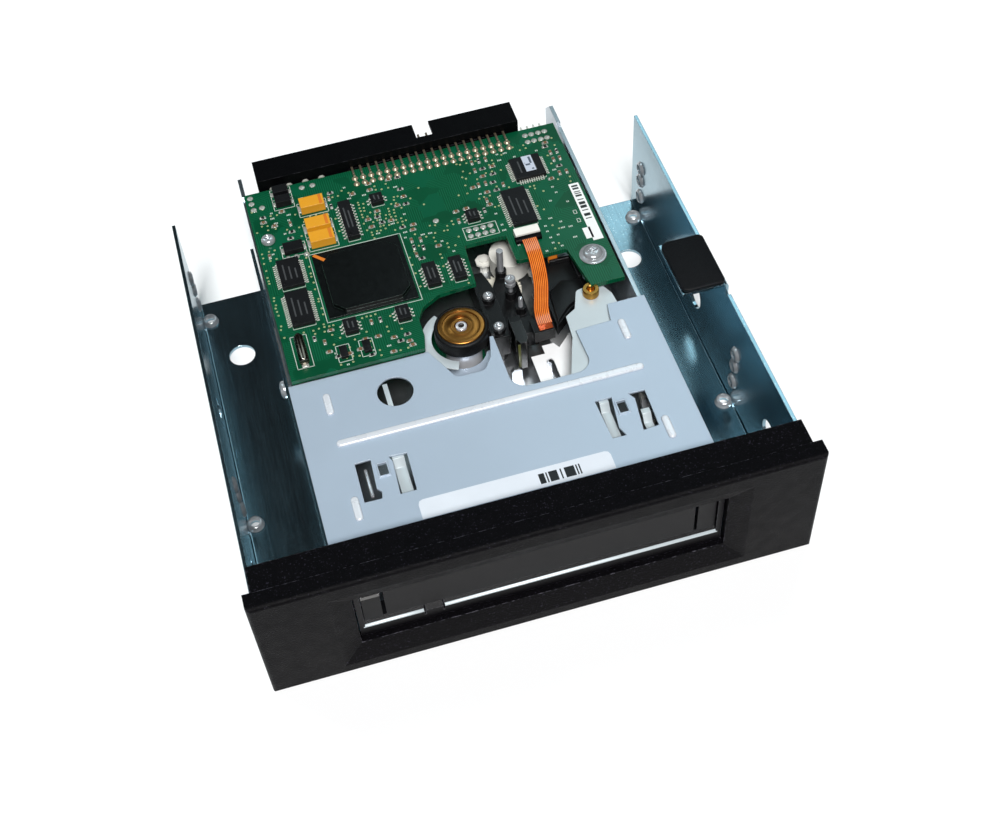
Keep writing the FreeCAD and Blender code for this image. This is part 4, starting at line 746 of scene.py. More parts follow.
class TAPE_OT_finishes(bpy.types.Operator):
    """Make the finishes and give each carried-over node its own"""
    bl_idname = "tape_drive.finishes"
    bl_label = "Finishes"

    def execute(self, context):
        colours = context.scene.tape_drive_colours
        f = FINISH
        # The bezel's bright flecks are painted glints on its grained faces.
        f["bezel"] = finish("bezel_plastic", tuple(colours.bezel), 0.42, specular=0.06,
                            grain=2200.0, bump=0.9, shade=0.4, edge=rgb(104, 102, 112),
                            edge_radius=0.35,
                            wear_level=0.47, spread=0.3, coarse=260.0, fleck=rgb(48, 46, 56))
        f["faceplate"] = finish("faceplate_plastic", rgb(11, 10, 13), 0.34, specular=0.14,
                                grain=4200.0, bump=0.35, shade=0.7, edge=rgb(120, 120, 128),
                                edge_radius=0.18, wear_level=0.42)
        f["door"] = finish("door_plastic", rgb(10, 9, 12), 0.36, specular=0.16, grain=4600.0,
                           bump=0.4, shade=0.7, edge=rgb(70, 70, 78), edge_radius=0.16)
        f["light"] = finish("light_pipe", rgb(58, 56, 54), 0.15, coat=0.6, bump=0.02)
        f["bracket"] = zinc_finish("bracket_zinc", tuple(colours.zinc), 0.19,
                                   (2600.0, 55.0, 2600.0))
        f["chassis"] = zinc_finish("chassis_zinc", rgb(190, 198, 204), 0.28,
                                   (2600.0, 60.0, 2600.0))
        f["deck"] = zinc_finish("deck_zinc", rgb(206, 210, 214), 0.34, (60.0, 2600.0, 60.0))
        f["cover"] = finish("cover_paint", tuple(colours.cover), 0.4, metallic=0.25, coat=0.1,
                            grain=3000.0, bump=0.1, shade=0.9, edge=rgb(206, 216, 224),
                            edge_radius=0.25, wear_level=0.4, spread=0.12, coarse=45.0)
        f["plate"] = finish("pale_plate", rgb(196, 206, 210), 0.36, metallic=0.15, bump=0.05,
                            edge=rgb(240, 242, 244))
        f["board"] = board_finish("board_green", tuple(colours.board))
        f["chip"] = finish("chip_black", rgb(20, 20, 22), 0.34, specular=0.2, grain=6500.0,
                           bump=0.3, shade=0.6, edge=rgb(78, 78, 82), edge_radius=0.12)
        f["main_chip"] = finish("main_chip_black", rgb(11, 14, 14), 0.24, specular=0.35,
                                grain=5200.0, bump=0.12, shade=0.6, edge=rgb(64, 90, 78),
                                edge_radius=0.16, wear_level=0.4, coarse=500.0)
        f["tantalum"] = finish("tantalum_yellow", rgb(228, 158, 32), 0.38, grain=5000.0, bump=0.2,
                               shade=0.82, edge=rgb(248, 206, 120), edge_radius=0.25, coat=0.2)
        f["crystal"] = finish("crystal_metal", rgb(120, 112, 102), 0.2, metallic=1.0, bump=0.1,
                              edge=rgb(214, 210, 200), edge_radius=0.3)
        f["connector"] = finish("connector_black", rgb(7, 7, 9), 0.36, specular=0.06,
                                grain=4200.0, bump=0.4, shade=0.6, edge=rgb(60, 60, 66),
                                edge_radius=0.2)
        f["tin"] = finish("pin_tin", rgb(222, 222, 212), 0.26, metallic=0.3, bump=0.12,
                          shade=0.7, coarse=1200.0)
        f["tail"] = finish("tail_tin", rgb(128, 116, 98), 0.3, metallic=0.5, bump=0.2, shade=0.4,
                           coarse=900.0)
        f["steel"] = finish("screw_steel", rgb(214, 218, 222), 0.2, metallic=0.6, bump=0.15,
                            shade=0.6, edge=rgb(244, 246, 246), edge_radius=0.12, coarse=900.0)
        f["shaft"] = finish("shaft_steel", rgb(214, 216, 220), 0.14, metallic=0.65, bump=0.05,
                            shade=0.7)
        capstan = at(*CAPSTAN, 0)
        f["brass"] = turned_metal("brass", rgb(184, 126, 62), capstan, 0.3)
        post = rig.box("brass_post")
        f["post_brass"] = turned_metal("post_brass", rgb(196, 148, 74),
                                       (post[0] + post[1]) / 2, 0.32)
        f["rotor"] = finish("rotor_steel", rgb(226, 226, 230), 0.2, metallic=0.35, bump=0.05,
                            shade=0.75, coarse=500.0)
        # Dark brown for the shaft's recess: painted shade in the bore.
        f["bore"] = finish("bore_dark", rgb(40, 32, 26), 0.35, metallic=0.4, bump=0.05)
        f["motor_base"] = turned_metal("motor_base", rgb(196, 198, 200), capstan, 0.36)
        f["tyre"] = finish("tyre_rubber", rgb(12, 11, 11), 0.42, specular=0.3, grain=5500.0,
                           bump=0.5, edge=rgb(60, 56, 52), edge_radius=0.2)
        f["gear"] = finish("gear_plastic", rgb(228, 224, 208), 0.4, bump=0.08, coat=0.1)
        f["stepper"] = finish("stepper_can", rgb(232, 230, 222), 0.42, bump=0.08, shade=0.9,
                              edge=rgb(250, 248, 240))
        f["head_black"] = finish("head_black", rgb(14, 14, 15), 0.3, specular=0.3, grain=4200.0,
                                 bump=0.35, shade=0.6, edge=rgb(84, 84, 88), edge_radius=0.18,
                                 wear_level=0.42)
        f["ferrite"] = finish("ferrite", rgb(16, 15, 15), 0.18, grain=3000.0, bump=0.05, coat=0.3,
                              edge=rgb(150, 150, 150), edge_radius=0.14)
        f["flex"] = ribbon_finish("flex_amber")
        f["white"] = finish("ffc_white", rgb(240, 238, 230), 0.42, bump=0.1, shade=0.9)
        f["spring"] = finish("spring_steel", rgb(186, 188, 190), 0.26, metallic=1.0, bump=0.05)
        f["latch"] = finish("latch_plastic", rgb(214, 212, 206), 0.4, bump=0.1)
        # The foam's bluish edge colour is a painted sheen along its rounded edges.
        f["foam"] = finish("foam", rgb(8, 9, 13), 0.55, specular=0.2, grain=1500.0, bump=1.0,
                           shade=0.5, edge=rgb(38, 46, 60), edge_radius=0.5, coarse=500.0)
        f["silk"] = finish("print_white", rgb(214, 224, 214), 0.5, bump=0.05, shade=0.8)
        f["solder"] = finish("solder", rgb(206, 208, 200), 0.24, metallic=0.4, grain=2600.0,
                             bump=0.3, shade=0.45, coarse=1600.0)
        f["joint"] = finish("header_tin", rgb(186, 172, 146), 0.3, metallic=0.4, grain=2600.0,
                            bump=0.3, shade=0.4, coarse=900.0)
        # Olive for the strip on the head's tongue: painted shade on the tape head's side.
        f["olive"] = finish("olive_facing", rgb(96, 98, 52), 0.3, bump=0.05, shade=0.7)
        f["copper"] = finish("copper_winding", rgb(196, 84, 30), 0.25, metallic=0.5, bump=0.15,
                             shade=0.4, coarse=2500.0)
        # Plain white for the sheet under the head: painted light standing in for the lit backdrop seen through the
        # drive.
        f["white_plate"] = finish("white_guide", rgb(250, 250, 250), 0.4, bump=0.04, shade=0.93)
        f["ceramic"] = finish("ceramic_brown", rgb(128, 92, 58), 0.45, bump=0.1, shade=0.5,
                              coarse=900.0)
        f["resistor"] = finish("resistor_black", rgb(16, 16, 18), 0.3, specular=0.3, bump=0.05)
        f["gold"] = finish("via_plate", rgb(236, 238, 176), 0.36, metallic=0.15, bump=0.1,
                           shade=0.6, coarse=900.0)
        f["grey_print"] = finish("grey_print", rgb(74, 76, 78), 0.5, bump=0.05, shade=0.5,
                                 coarse=1500.0)
        f["sticker"] = label_finish("sticker_paper", rgb(190, 198, 212), rgb(70, 80, 96),
                                    (700.0, 1400.0, 1.0), 0.72, at(34.2, 128.0, 0),
                                    at(36.4, 133.6, 0))
        f["board_label"] = label_finish("board_label", rgb(238, 240, 238), rgb(22, 26, 26),
                                        (1.0, 2600.0, 1.0), 0.45, at(44.9, 104.0, 0),
                                        at(46.8, 118.8, 0))
        f["cover_label"] = label_finish("cover_label", rgb(222, 228, 236), rgb(16, 18, 22),
                                        (2600.0, 1.0, 1.0), 0.5, at(5.0, 19.4, 0),
                                        at(16.6, 22.6, 0))
        # The beads' paler paint and lighter edges are a painted highlight on the cover's pressed ribs.
        f["bead"] = finish("bead_paint", rgb(222, 226, 232), 0.28, metallic=0.1, coat=0.3,
                           bump=0.04, shade=0.86, edge=rgb(240, 244, 248), coarse=300.0)
        f["amber"] = finish("amber_print", rgb(214, 120, 30), 0.45, bump=0.05)
        pairs = {
            "front_bezel": "bezel", "adapter_bracket": "bracket", "foam_pad": "foam",
            "drive_chassis": "chassis", "side_screws": "steel", "drive_faceplate": "faceplate",
            "door_hinge_rod": "shaft", "cartridge_door": "door", "right_side_flap": "door",
            "left_side_flap": "door", "activity_light": "light", "door_spring": "spring",
            "latch_springs": "spring", "top_cover": "cover", "mechanism_plate": "deck",
            "right_latch_arm": "latch", "left_latch_arm": "latch", "right_latch_roller": "shaft",
            "left_latch_roller": "shaft", "loading_plate": "plate", "capstan_motor": "motor_base",
            "motor_board": "board", "capstan_rotor": "rotor", "capstan_hub": "brass",
            "capstan_tyre": "tyre", "lead_screw_gear": "gear", "stepper_pinion": "gear",
            "stepper_motor": "stepper", "lead_screw": "shaft", "guide_pins": "shaft",
            "head_base": "head_black", "head_base_screws": "gold", "head_carriage": "head_black",
            "tape_head": "ferrite", "head_flex": "flex", "head_flex_tail": "flex",
            "brass_post": "post_brass", "sensor_housing": "head_black", "circuit_board": "board",
            "board_posts": "steel", "board_screws": "steel", "main_chip": "main_chip",
            "memory_chips": "chip", "driver_chips": "chip", "small_chips": "chip",
            "servo_chip": "chip", "buffer_chip": "chip", "tantalum_capacitors": "tantalum",
            "power_diodes": "chip", "crystal_can": "crystal", "flex_connector": "white",
            "connector_shell": "connector", "interface_pins": "tail", "power_pins": "tin",
            "jumper_header": "connector", "jumper_pins": "tin",
        }
        for node, key in pairs.items():
            dress(node, f[key])
        return {"FINISHED"}


# ------------------------------------------------------------------ circuit board

MEMORY = [(-46.0, -39.4, 105.2, 116.2), (-46.0, -39.4, 90.1, 103.2)]
DRIVERS = [(-23.7, -20.1, 118.3, 133.6), (-5.9, -2.0, 92.6, 101.2), (2.0, 5.6, 92.6, 101.2)]
SMALL = [(-32.3, -28.4, 82.8, 87.8), (-17.1, -13.3, 82.8, 87.8), (11.6, 15.3, 113.8, 117.8),
         (-13.9, -10.1, 129.9, 133.8)]
SERVO = (30.0, 39.3, 125.4, 134.4)
BUFFER = (23.9, 31.2, 107.6, 122.4)
MAIN = (-35.5, -9.4, 90.0, 115.8)
DIODES = [(-42.8, -37.0, 118.4, 122.0), (-41.5, -36.8, 138.6, 141.6), (-41.5, -36.8, 143.0, 146.0)]
TANTALUMS = [(-34.7, -27.4, 118.5, 122.8), (-34.7, -27.4, 124.4, 128.7),
             (-34.7, -27.4, 133.3, 137.6)]
FLEX_SOCKET = (22.9, 30.3, 102.4, 105.2)
CRYSTAL = (-46.9, -43.7, 76.0, 86.4)
QUARTER = math.pi / 2
CHIP_FOOT = 0.155                # height at which the chips' bodies start above the board
SERVO_TOP, TANTALUM_TOP = 1.56, 3.06   # heights above the board for what lies on them
PRINT_RISE, PRINT_THICK = 0.005, 0.025


def lead_spots(box, sides, pitch, inset=0.7):
    """Places and turns of the leads along the named sides of a chip."""
    left, right, front, rear = box
    spots = []
    for side in sides:
        low, high = (front, rear) if side in "EW" else (left, right)
        count = int((high - low - 2 * inset) / pitch) + 1
        first = (low + high - (count - 1) * pitch) / 2
        for index in range(count):
            along = first + index * pitch
            spots.append({"E": (right, along, BOARD_TOP, 0.0),
                          "W": (left, along, BOARD_TOP, math.pi),
                          "N": (along, rear, BOARD_TOP, QUARTER),
                          "S": (along, front, BOARD_TOP, -QUARTER)}[side])
    return spots


def chip_leads(name, chips, wide, reach, spring):
    """Bent leads: flat out of the body, down, and flat on the board."""
    profile = [(-0.2, spring), (reach * 0.34, spring), (reach * 0.55, 0.2), (reach, 0.17),
               (reach, 0.03), (reach * 0.4, 0.03), (reach * 0.22, spring - 0.16),
               (-0.2, spring - 0.16)]
    lead = outline(name, [(x, -wide / 2, z) for x, z in profile], (0, wide, 0))
    spots = [spot for box, sides, pitch in chips for spot in lead_spots(box, sides, pitch)]
    return stamp(lead, spots)


class TAPE_OT_chip_leads(bpy.types.Operator):
    """Bent leads on every chip"""
    bl_idname = "tape_drive.chip_leads"
    bl_label = "Chip leads"

    def execute(self, context):
        wide = context.scene.tape_drive_sizes.lead_wide / MM
        fine = chip_leads("fine_leads", [(box, "EW", 0.8) for box in MEMORY]
                          + [(SERVO, "EWNS", 0.72), (BUFFER, "EW", 0.8)], wide, 1.25, 0.6)
        coarse = chip_leads("coarse_leads", [(box, "EW", 1.27) for box in DRIVERS + SMALL],
                            wide + 0.1, 1.15, 0.8)
        for piece in (fine, coarse):
            fit(paint(piece, FINISH["tin"]), "pin_tin")
        tabs = []
        for left, right, front, rear in DIODES + TANTALUMS:
            for start, end in ((left - 0.9, left + 0.2), (right - 0.2, right + 0.9)):
                tabs.append(block("end_tab", (start, front + 0.7, BOARD_TOP),
                                  (end, rear - 0.7, BOARD_TOP + 0.55), 0.12))
        fit(paint(joined("end_tabs", tabs), FINISH["solder"]), "pin_tin")
        return {"FINISHED"}


class TAPE_OT_chip_marks(bpy.types.Operator):
    """Printed bars, index dimples, a sticker and stripes on the chips"""
    bl_idname = "tape_drive.chip_marks"
    bl_label = "Chip marks"

    def execute(self, context):
        dots = []
        chips = [(box, 1.2) for box in MEMORY + [BUFFER]] + [(SERVO, 1.4)]
        chips += [(box, 1.5) for box in DRIVERS[1:] + SMALL] + [(DRIVERS[0], 1.7)]
        grey = []
        for (left, right, front, rear), high in chips:
            top = BOARD_TOP + CHIP_FOOT + high
            dots.append(turned("dimple", [(0, top + 0.012), (0.32, top + 0.012), (0.4, top),
                                          (0, top)], (left + 1.0, front + 1.1), 20))
            long_side = rear - front
            rows = 3 if right - left > 5 else 2
            for row in range(rows):
                x = left + (right - left) * (row + 1) / (rows + 1)
                grey.append(flat("mark", [(x - 0.22, front + long_side * 0.24),
                                          (x + 0.22, front + long_side * 0.24),
                                          (x + 0.22, rear - long_side * (0.2 + 0.1 * row)),
                                          (x - 0.22, rear - long_side * (0.2 + 0.1 * row))],
                                 top - 0.01, 0.02))
        fit(paint(joined("index_dimples", dots), FINISH["resistor"]), "chip_black")
        fit(paint(joined("chip_marks", grey), FINISH["grey_print"]), "chip_black")
        top = BOARD_TOP + SERVO_TOP
        sticker = flat("servo_sticker", [(33.8, 127.5), (36.9, 127.5), (36.9, 134.2),
                                         (33.8, 134.2)], top, 0.05)
        fit(paint(sticker, FINISH["sticker"]), "ffc_white")
        stripe = flat("corner_stripe", [(-35.3, 115.2), (-34.5, 115.8), (-31.6, 112.9),
                                        (-32.4, 112.1)], BOARD_TOP + 0.6, 0.06)
        fit(paint(stripe, FINISH["amber"]), "tantalum_yellow")
        bands = [flat("band", [(right - 1.5, front + 0.15), (right - 0.6, front + 0.15),
                               (right - 0.6, rear - 0.15), (right - 1.5, rear - 0.15)],
                      BOARD_TOP + TANTALUM_TOP, 0.02) for left, right, front, rear in TANTALUMS]
        fit(paint(joined("polarity_bands", bands), FINISH["amber"]), "tantalum_yellow")
        return {"FINISHED"}


def free_spots(region, step, room, taken, seed, share):
    """Places on a jittered grid in a region, clear of all that is in taken, and added to it."""
    pick = random.Random(seed)
    left, right, front, rear = region
    spots = []
    y = front
    while y <= rear:
        x = left
        while x <= right:
            u, v = x + pick.uniform(-0.15, 0.15) * step, y + pick.uniform(-0.15, 0.15) * step
            wanted = pick.random() < share
            half_wide, half_deep = room
            clear = all(u + half_wide < l or u - half_wide > r or v + half_deep < f
                        or v - half_deep > b for l, r, f, b in taken)
            if wanted and clear:
                spots.append((u, v))
                taken.append((u - half_wide, u + half_wide, v - half_deep, v + half_deep))
            x += step
        y += step
    return spots


LEAD_ROOM = 1.4
TAKEN = [(left - LEAD_ROOM, right + LEAD_ROOM, front - 0.8, rear + 0.8)
         for left, right, front, rear in MEMORY + DRIVERS + SMALL + [SERVO, BUFFER, FLEX_SOCKET]
         + DIODES + TANTALUMS + [CRYSTAL]]
TAKEN += [(MAIN[0] - 0.9, MAIN[1] + 0.9, MAIN[2] - 1.4, MAIN[3] + 0.9),
          (-49.8, -43.4, 122.4, 129.4), (37.6, 47.4, 85.2, 95.4), (43.6, 47.9, 95.0, 120.0),
          (9.0, 19.8, 106.8, 112.8), (7.0, 22.2, 96.0, 106.6)]
PASSIVE_ROWS = [  # x, y, turned a quarter
    (-46.3, 136.0, 0), (-43.5, 131.5, 0), (-38.8, 131.0, 1), (-39.0, 127.5, 0), (-47.2, 119.7, 1),
    (-6.0, 112.5, 1), (-6.0, 109.5, 1), (-6.0, 106.5, 1), (-3.4, 112.0, 1), (-3.4, 108.6, 1),
    (-38.5, 82.5, 1), (-24.4, 85.6, 1), (-21.8, 85.6, 1), (-36.0, 86.2, 0),
    (19.4, 138.2, 1), (21.6, 138.2, 1), (23.8, 138.2, 1), (19.4, 134.6, 1), (21.8, 134.6, 0),
    (24.9, 134.6, 0), (21.0, 131.4, 0), (24.2, 131.4, 0), (18.8, 128.2, 1), (21.0, 128.2, 1),
    (23.2, 127.9, 0), (25.9, 126.0, 1), (20.4, 124.4, 0), (23.4, 124.4, 0), (19.4, 121.2, 1),
    (43.4, 134.6, 1), (45.4, 134.6, 1), (43.4, 131.4, 1), (45.4, 131.4, 1), (44.2, 128.2, 0),
    (43.4, 125.2, 1), (45.6, 125.2, 1), (42.6, 137.6, 0),
    (9.4, 119.6, 0), (12.6, 119.8, 0), (17.6, 117.4, 1), (9.2, 115.6, 1),
    (-19.6, 78.0, 0), (-15.8, 78.0, 0), (-15.8, 75.4, 0), (-38.0, 78.6, 0),
    (-41.0, 84.6, 1), (-18.4, 137.0, 0), (-25.6, 137.6, 1), (-25.6, 134.0, 1),
]


class TAPE_OT_passives(bpy.types.Operator):
    """Small ceramic capacitors and resistors with tinned ends"""
    bl_idname = "tape_drive.passives"
    bl_label = "Capacitors and resistors"

    def execute(self, context):
        spots = []
        for x, y, turn in PASSIVE_ROWS:
            half = (0.6, 1.1) if turn else (1.1, 0.6)
            TAKEN.append((x - half[0], x + half[0], y - half[1], y + half[1]))
            spots.append((x, y, BOARD_TOP, turn * QUARTER))
        for region, seed in (((16.6, 28.0, 119.0, 141.0), 3), ((-36.0, -14.0, 73.5, 88.0), 5),
                             ((-49.0, -36.0, 119.0, 140.0), 7), ((-28.0, -4.0, 116.0, 140.0), 9),
                             ((40.0, 47.0, 121.0, 141.0), 11), ((-8.0, 2.0, 102.0, 118.0), 13)):
            for x, y in free_spots(region, 3.0, (1.15, 0.75), TAKEN, seed, 0.34):
                spots.append((x, y, BOARD_TOP, 0.0))
        dark, pale = spots[::3], [spot for index, spot in enumerate(spots) if index % 3]
        resistors = block("resistors", (-0.5, -0.36, 0.05), (0.5, 0.36, 0.45), 0.04)
        fit(paint(stamp(resistors, dark), FINISH["resistor"]), "chip_black")
        capacitors = block("capacitors", (-0.5, -0.36, 0.05), (0.5, 0.36, 0.6), 0.08)
        fit(paint(stamp(capacitors, pale), FINISH["ceramic"]), "tantalum_yellow")
        ends = joined("passive_ends", [
            block("end", (-0.74, -0.4, 0.03), (-0.42, 0.4, 0.56), 0.1),
            block("end", (0.42, -0.4, 0.03), (0.74, 0.4, 0.56), 0.1)])
        fit(paint(stamp(ends, spots), FINISH["solder"]), "pin_tin")
        fillet = outline("solder_pads", [(-1.0, -0.46, 0.02), (1.0, -0.46, 0.02),
                                         (1.0, 0.46, 0.02), (-1.0, 0.46, 0.02)], (0, 0, 0.1),
                         0.06)
        fit(paint(stamp(fillet, spots), FINISH["solder"]), "pin_tin")
        return {"FINISHED"}


class TAPE_OT_vias(bpy.types.Operator):
    """Plated holes, test pads and round solder joints"""
    bl_idname = "tape_drive.vias"
    bl_label = "Vias and pads"

    def execute(self, context):
        size = context.scene.tape_drive_sizes.via_round / MM
        spots = []
        for region, step, seed, share in (
                ((-19.0, -5.0, 117.0, 132.0), 1.35, 21, 0.62),
                ((-28.0, -6.0, 133.0, 141.0), 1.7, 22, 0.4),
                ((-38.5, -24.0, 88.0, 90.0), 1.2, 23, 0.7),
                ((-36.0, -14.0, 73.0, 88.5), 1.9, 24, 0.45),
                ((-49.0, -36.0, 86.5, 90.0), 1.4, 25, 0.6),
                ((-38.2, -36.6, 90.0, 117.0), 1.3, 26, 0.7),
                ((-49.2, -48.4, 88.0, 118.0), 1.4, 36, 0.6),
                ((-8.0, 8.0, 91.0, 118.0), 1.7, 27, 0.4),
                ((16.0, 29.0, 118.0, 141.0), 1.6, 28, 0.3),
                ((-49.0, -24.0, 118.0, 141.0), 1.8, 29, 0.35),
                ((32.8, 36.5, 96.0, 124.0), 1.8, 30, 0.25),
                ((-5.0, 16.0, 113.0, 141.0), 3.3, 31, 0.22),
                ((33.0, 47.0, 121.0, 141.0), 1.8, 32, 0.25)):
            spots += [(x, y, BOARD_TOP + 0.01, 0.0)
                      for x, y in free_spots(region, step, (size, size), TAKEN, seed, share)]
        via = turned("vias", [(size * 0.45, 0.0), (size * 0.5, 0.035), (size, 0.035),
                              (size, 0.0), (size * 0.45, 0.0)], (0, 0), 12)
        fit(paint(stamp(via, spots), FINISH["gold"]), "brass")
        pads = [(x, y, BOARD_TOP, 0.0) for x, y in (
            (-48.5, 145.5), (-48.5, 143), (-48.3, 140.3), (-45.7, 140.5), (-32.5, 145),
            (-29.2, 145), (2.8, 118))]
        pads += [(11.0 + 2.2 * column, 108.6 + 2.4 * row, BOARD_TOP, 0.0)
                 for column in range(4) for row in range(2)]
        pads += [(x, y, BOARD_TOP, 0.0) for x in (38.3, 40.3, 42.5, 44.5) for y in (141.5, 144.5)]
        pad = turned("round_pads", [(0, 0.0), (0.95, 0.0), (0.85, 0.1), (0.45, 0.2), (0, 0.22)],
                     (0, 0), 20)
        fit(paint(stamp(pad, pads), FINISH["solder"]), "pin_tin")
        header = [(8 + 2.54 * (column - 9.5), y, BOARD_TOP, 0.0)
                  for column in range(20) for y in (141.0, 143.5)]
        joint = turned("header_joints", [(0, 0.0), (1.0, 0.0), (0.85, 0.12), (0.5, 0.55),
                                         (0.38, 0.6), (0.36, 1.15), (0, 1.2)], (0, 0), 16)
        fit(paint(stamp(joint, header), FINISH["joint"]), "pin_tin")
        blobs = turned("solder_blobs", [(0, 0.0), (0.9, 0.0), (0.75, 0.4), (0.4, 0.62),
                                        (0, 0.7)], (0, 0), 16)
        fit(paint(stamp(blobs, [(x, y, BOARD_TOP, 0.0) for x, y in (
            (-42.0, 117.2), (-39.6, 117.2), (-36.6, 117.2))]), FINISH["solder"]), "pin_tin")
        return {"FINISHED"}


def printed_bar(name, left, right, front, rear):
    """One thin printed bar on the board."""
    return flat(name, [(left, front), (right, front), (right, rear), (left, rear)],
                BOARD_TOP + PRINT_RISE, PRINT_THICK)


def printed_frame(box, line, gap):
    """Four thin printed bars round a place."""
    left, right, front, rear = box[0] - gap, box[1] + gap, box[2] - gap, box[3] + gap
    half = line / 2
    bars = [(left - half, right + half, front - half, front + half),
            (left - half, right + half, rear - half, rear + half),
            (left - half, left + half, front, rear), (right - half, right + half, front, rear)]
    return [printed_bar("bar", *bar) for bar in bars]


class TAPE_OT_board_print(bpy.types.Operator):
    """White printed outlines and tick marks on the board, and its plain labels"""
    bl_idname = "tape_drive.board_print"
    bl_label = "Board print"

    def execute(self, context):
        line = context.scene.tape_drive_sizes.silk_wide / MM
        bars = []
        for box in [MAIN] + TANTALUMS + DIODES:
            bars += printed_frame(box, line, 0.75)
        for box in MEMORY + SMALL + DRIVERS + [SERVO, BUFFER]:
            bars += printed_frame((box[0] + 0.4, box[1] - 0.4, box[2], box[3]), line, 0.35)
        for box in ((9.4, 19.4, 107.2, 112.3), (-36.1, -32.3, 74.0, 80.0),
                    (-29.5, -25.7, 74.0, 80.0), (42.3, 43.2, 107.4, 108.8),
                    (42.3, 43.2, 103.8, 105.2), (-47.6, -43.0, 75.2, 87.2)):
            bars += printed_frame(box, line, 0.0)
        ticks = random.Random(41)
        for region, seed in (((-34.0, -4.0, 116.5, 141.0), 43), ((16.0, 46.0, 96.0, 140.0), 44),
                             ((-36.0, -14.0, 73.0, 89.0), 45), ((-48.0, -36.0, 118.0, 140.0), 46),
                             ((-7.0, 7.0, 102.0, 118.0), 47)):
            for x, y in free_spots(region, 2.4, (0.7, 0.5), TAKEN, seed, 0.3):
                for mark in range(ticks.choice((2, 3))):
                    left = x - 0.6 + 0.45 * mark
                    bars.append(printed_bar("tick", left, left + 0.28, y - 0.3, y + 0.3))
        fit(paint(joined("board_print", bars), FINISH["silk"]), "board_green")
        for name, (left, right, front, rear) in (("long_label", (44.3, 47.4, 95.4, 119.6)),
                                                 ("side_label", (42.6, 44.9, 96.6, 101.0))):
            label = flat(name, [(left, front), (right, front), (right, rear), (left, rear)],
                         BOARD_TOP, 0.06)
            fit(paint(label, FINISH["board_label"]), "ffc_white")
        small = [block("box_part", (x - 1.1, 74.9, BOARD_TOP), (x + 1.1, 79.1, BOARD_TOP + 1.1),
                       0.12) for x in (-34.2, -27.6)]
        fit(paint(joined("box_parts", small), FINISH["chip"]), "chip_black")
        return {"FINISHED"}


# ------------------------------------------------------------------ screws, posts and can

def carve(piece, cutter):
    """Cut one piece out of another."""
    clear_selection()
    bpy.context.view_layer.objects.active = piece
    piece.select_set(True)
    cut = piece.modifiers.new("Cut", "BOOLEAN")
    cut.operation = "DIFFERENCE"
    cut.solver = "EXACT"
    cut.object = cutter
    bpy.ops.object.modifier_apply(modifier=cut.name)
    bpy.data.objects.remove(cutter)
    bpy.ops.object.mode_set(mode="EDIT")
    bpy.ops.mesh.select_all(action="SELECT")
    bpy.ops.mesh.remove_doubles(threshold=MERGE)
    bpy.ops.mesh.normals_make_consistent(inside=False)
    bpy.ops.object.mode_set(mode="OBJECT")
    bpy.ops.object.shade_smooth_by_angle(angle=math.radians(35))
    return piece


def screw_head(name, centre, wide, high):
    """A pan head with a cross recess, standing on a face."""
    x, y, z = centre
    head = turned(name, [(0, z), (wide, z), (wide, z + high * 0.3), (wide * 0.93, z + high * 0.62),
                         (wide * 0.74, z + high * 0.88), (wide * 0.42, z + high),
                         (0, z + high)], (x, y), 40)
    arm, slot = wide * 0.55, wide * 0.14
    bars = [block("arm", (x - a, y - b, z + high * 0.35), (x + a, y + b, z + high * 1.4), 0)
            for a, b in ((arm, slot), (slot, arm))]
    core = turned("core", [(0, z + high * 0.3), (slot * 1.2, z + high * 0.3),
                           (slot * 2.1, z + high * 1.3), (0, z + high * 1.3)], (x, y), 12)
    for cutter in (*bars, core):
        carve(head, cutter)
    return head


class TAPE_OT_screws(bpy.types.Operator):
    """Board screws with a flange, side screws and the head base's screws"""
    bl_idname = "tape_drive.screws"
    bl_label = "Screws"

    def execute(self, context):
        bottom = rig.box("board_screws")[0].z / MM
        pieces = []
        for (x, y), wide in ((BIG_SCREW, 2.8), (SMALL_SCREW, 2.1)):
            pieces.append(screw_head("board_screw", (x, y, BOARD_TOP + 0.35), wide, 1.5))
            pieces.append(turned("shank", [(0, bottom), (1.15, bottom), (1.2, BOARD_TOP + 0.5),
                                           (0, BOARD_TOP + 0.5)], (x, y), 24))
        pieces.append(turned("flange", [
            (1.3, BOARD_TOP), (3.7, BOARD_TOP), (4.0, BOARD_TOP + 0.2), (3.85, BOARD_TOP + 0.45),
            (3.2, BOARD_TOP + 0.55), (2.7, BOARD_TOP + 0.85), (1.3, BOARD_TOP + 0.9),
            (1.3, BOARD_TOP)], BIG_SCREW, 48))
        fit(paint(joined("board_screw_set", pieces), FINISH["steel"]), "screw_steel",
            replaces=("board_screws",))
        outer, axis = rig.box("side_screws")[1].x / MM, 16.4
        heads = []
        for row in (24.8, 84.8):
            for side in (1, -1):
                start = (side * (outer - 1.6), row, axis)
                head = screw_head("side_screw", start, 2.7, 1.55)
                shank = turned("shank", [(0, axis - 2.9), (1.35, axis - 2.9),
                                         (1.35, axis + 0.1), (0, axis + 0.1)],
                               (start[0], row), 24)
                heads.append(lay_along(joined("side_screw", [head, shank]), start, (side, 0, 0)))
        fit(paint(joined("side_screw_set", heads), FINISH["steel"]), "screw_steel",
            replaces=("side_screws",))
        low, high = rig.box("head_base_screws")
        base, top = low.z / MM, high.z / MM
        golden = [screw_head("base_screw", (x, y, base), 1.5, top - base)
                  for x, y in ((10.4, 89.6), (10.2, 77.6))]
        fit(paint(joined("base_screw_set", golden), FINISH["steel"]), "screw_steel",
            replaces=("head_base_screws",))
        return {"FINISHED"}


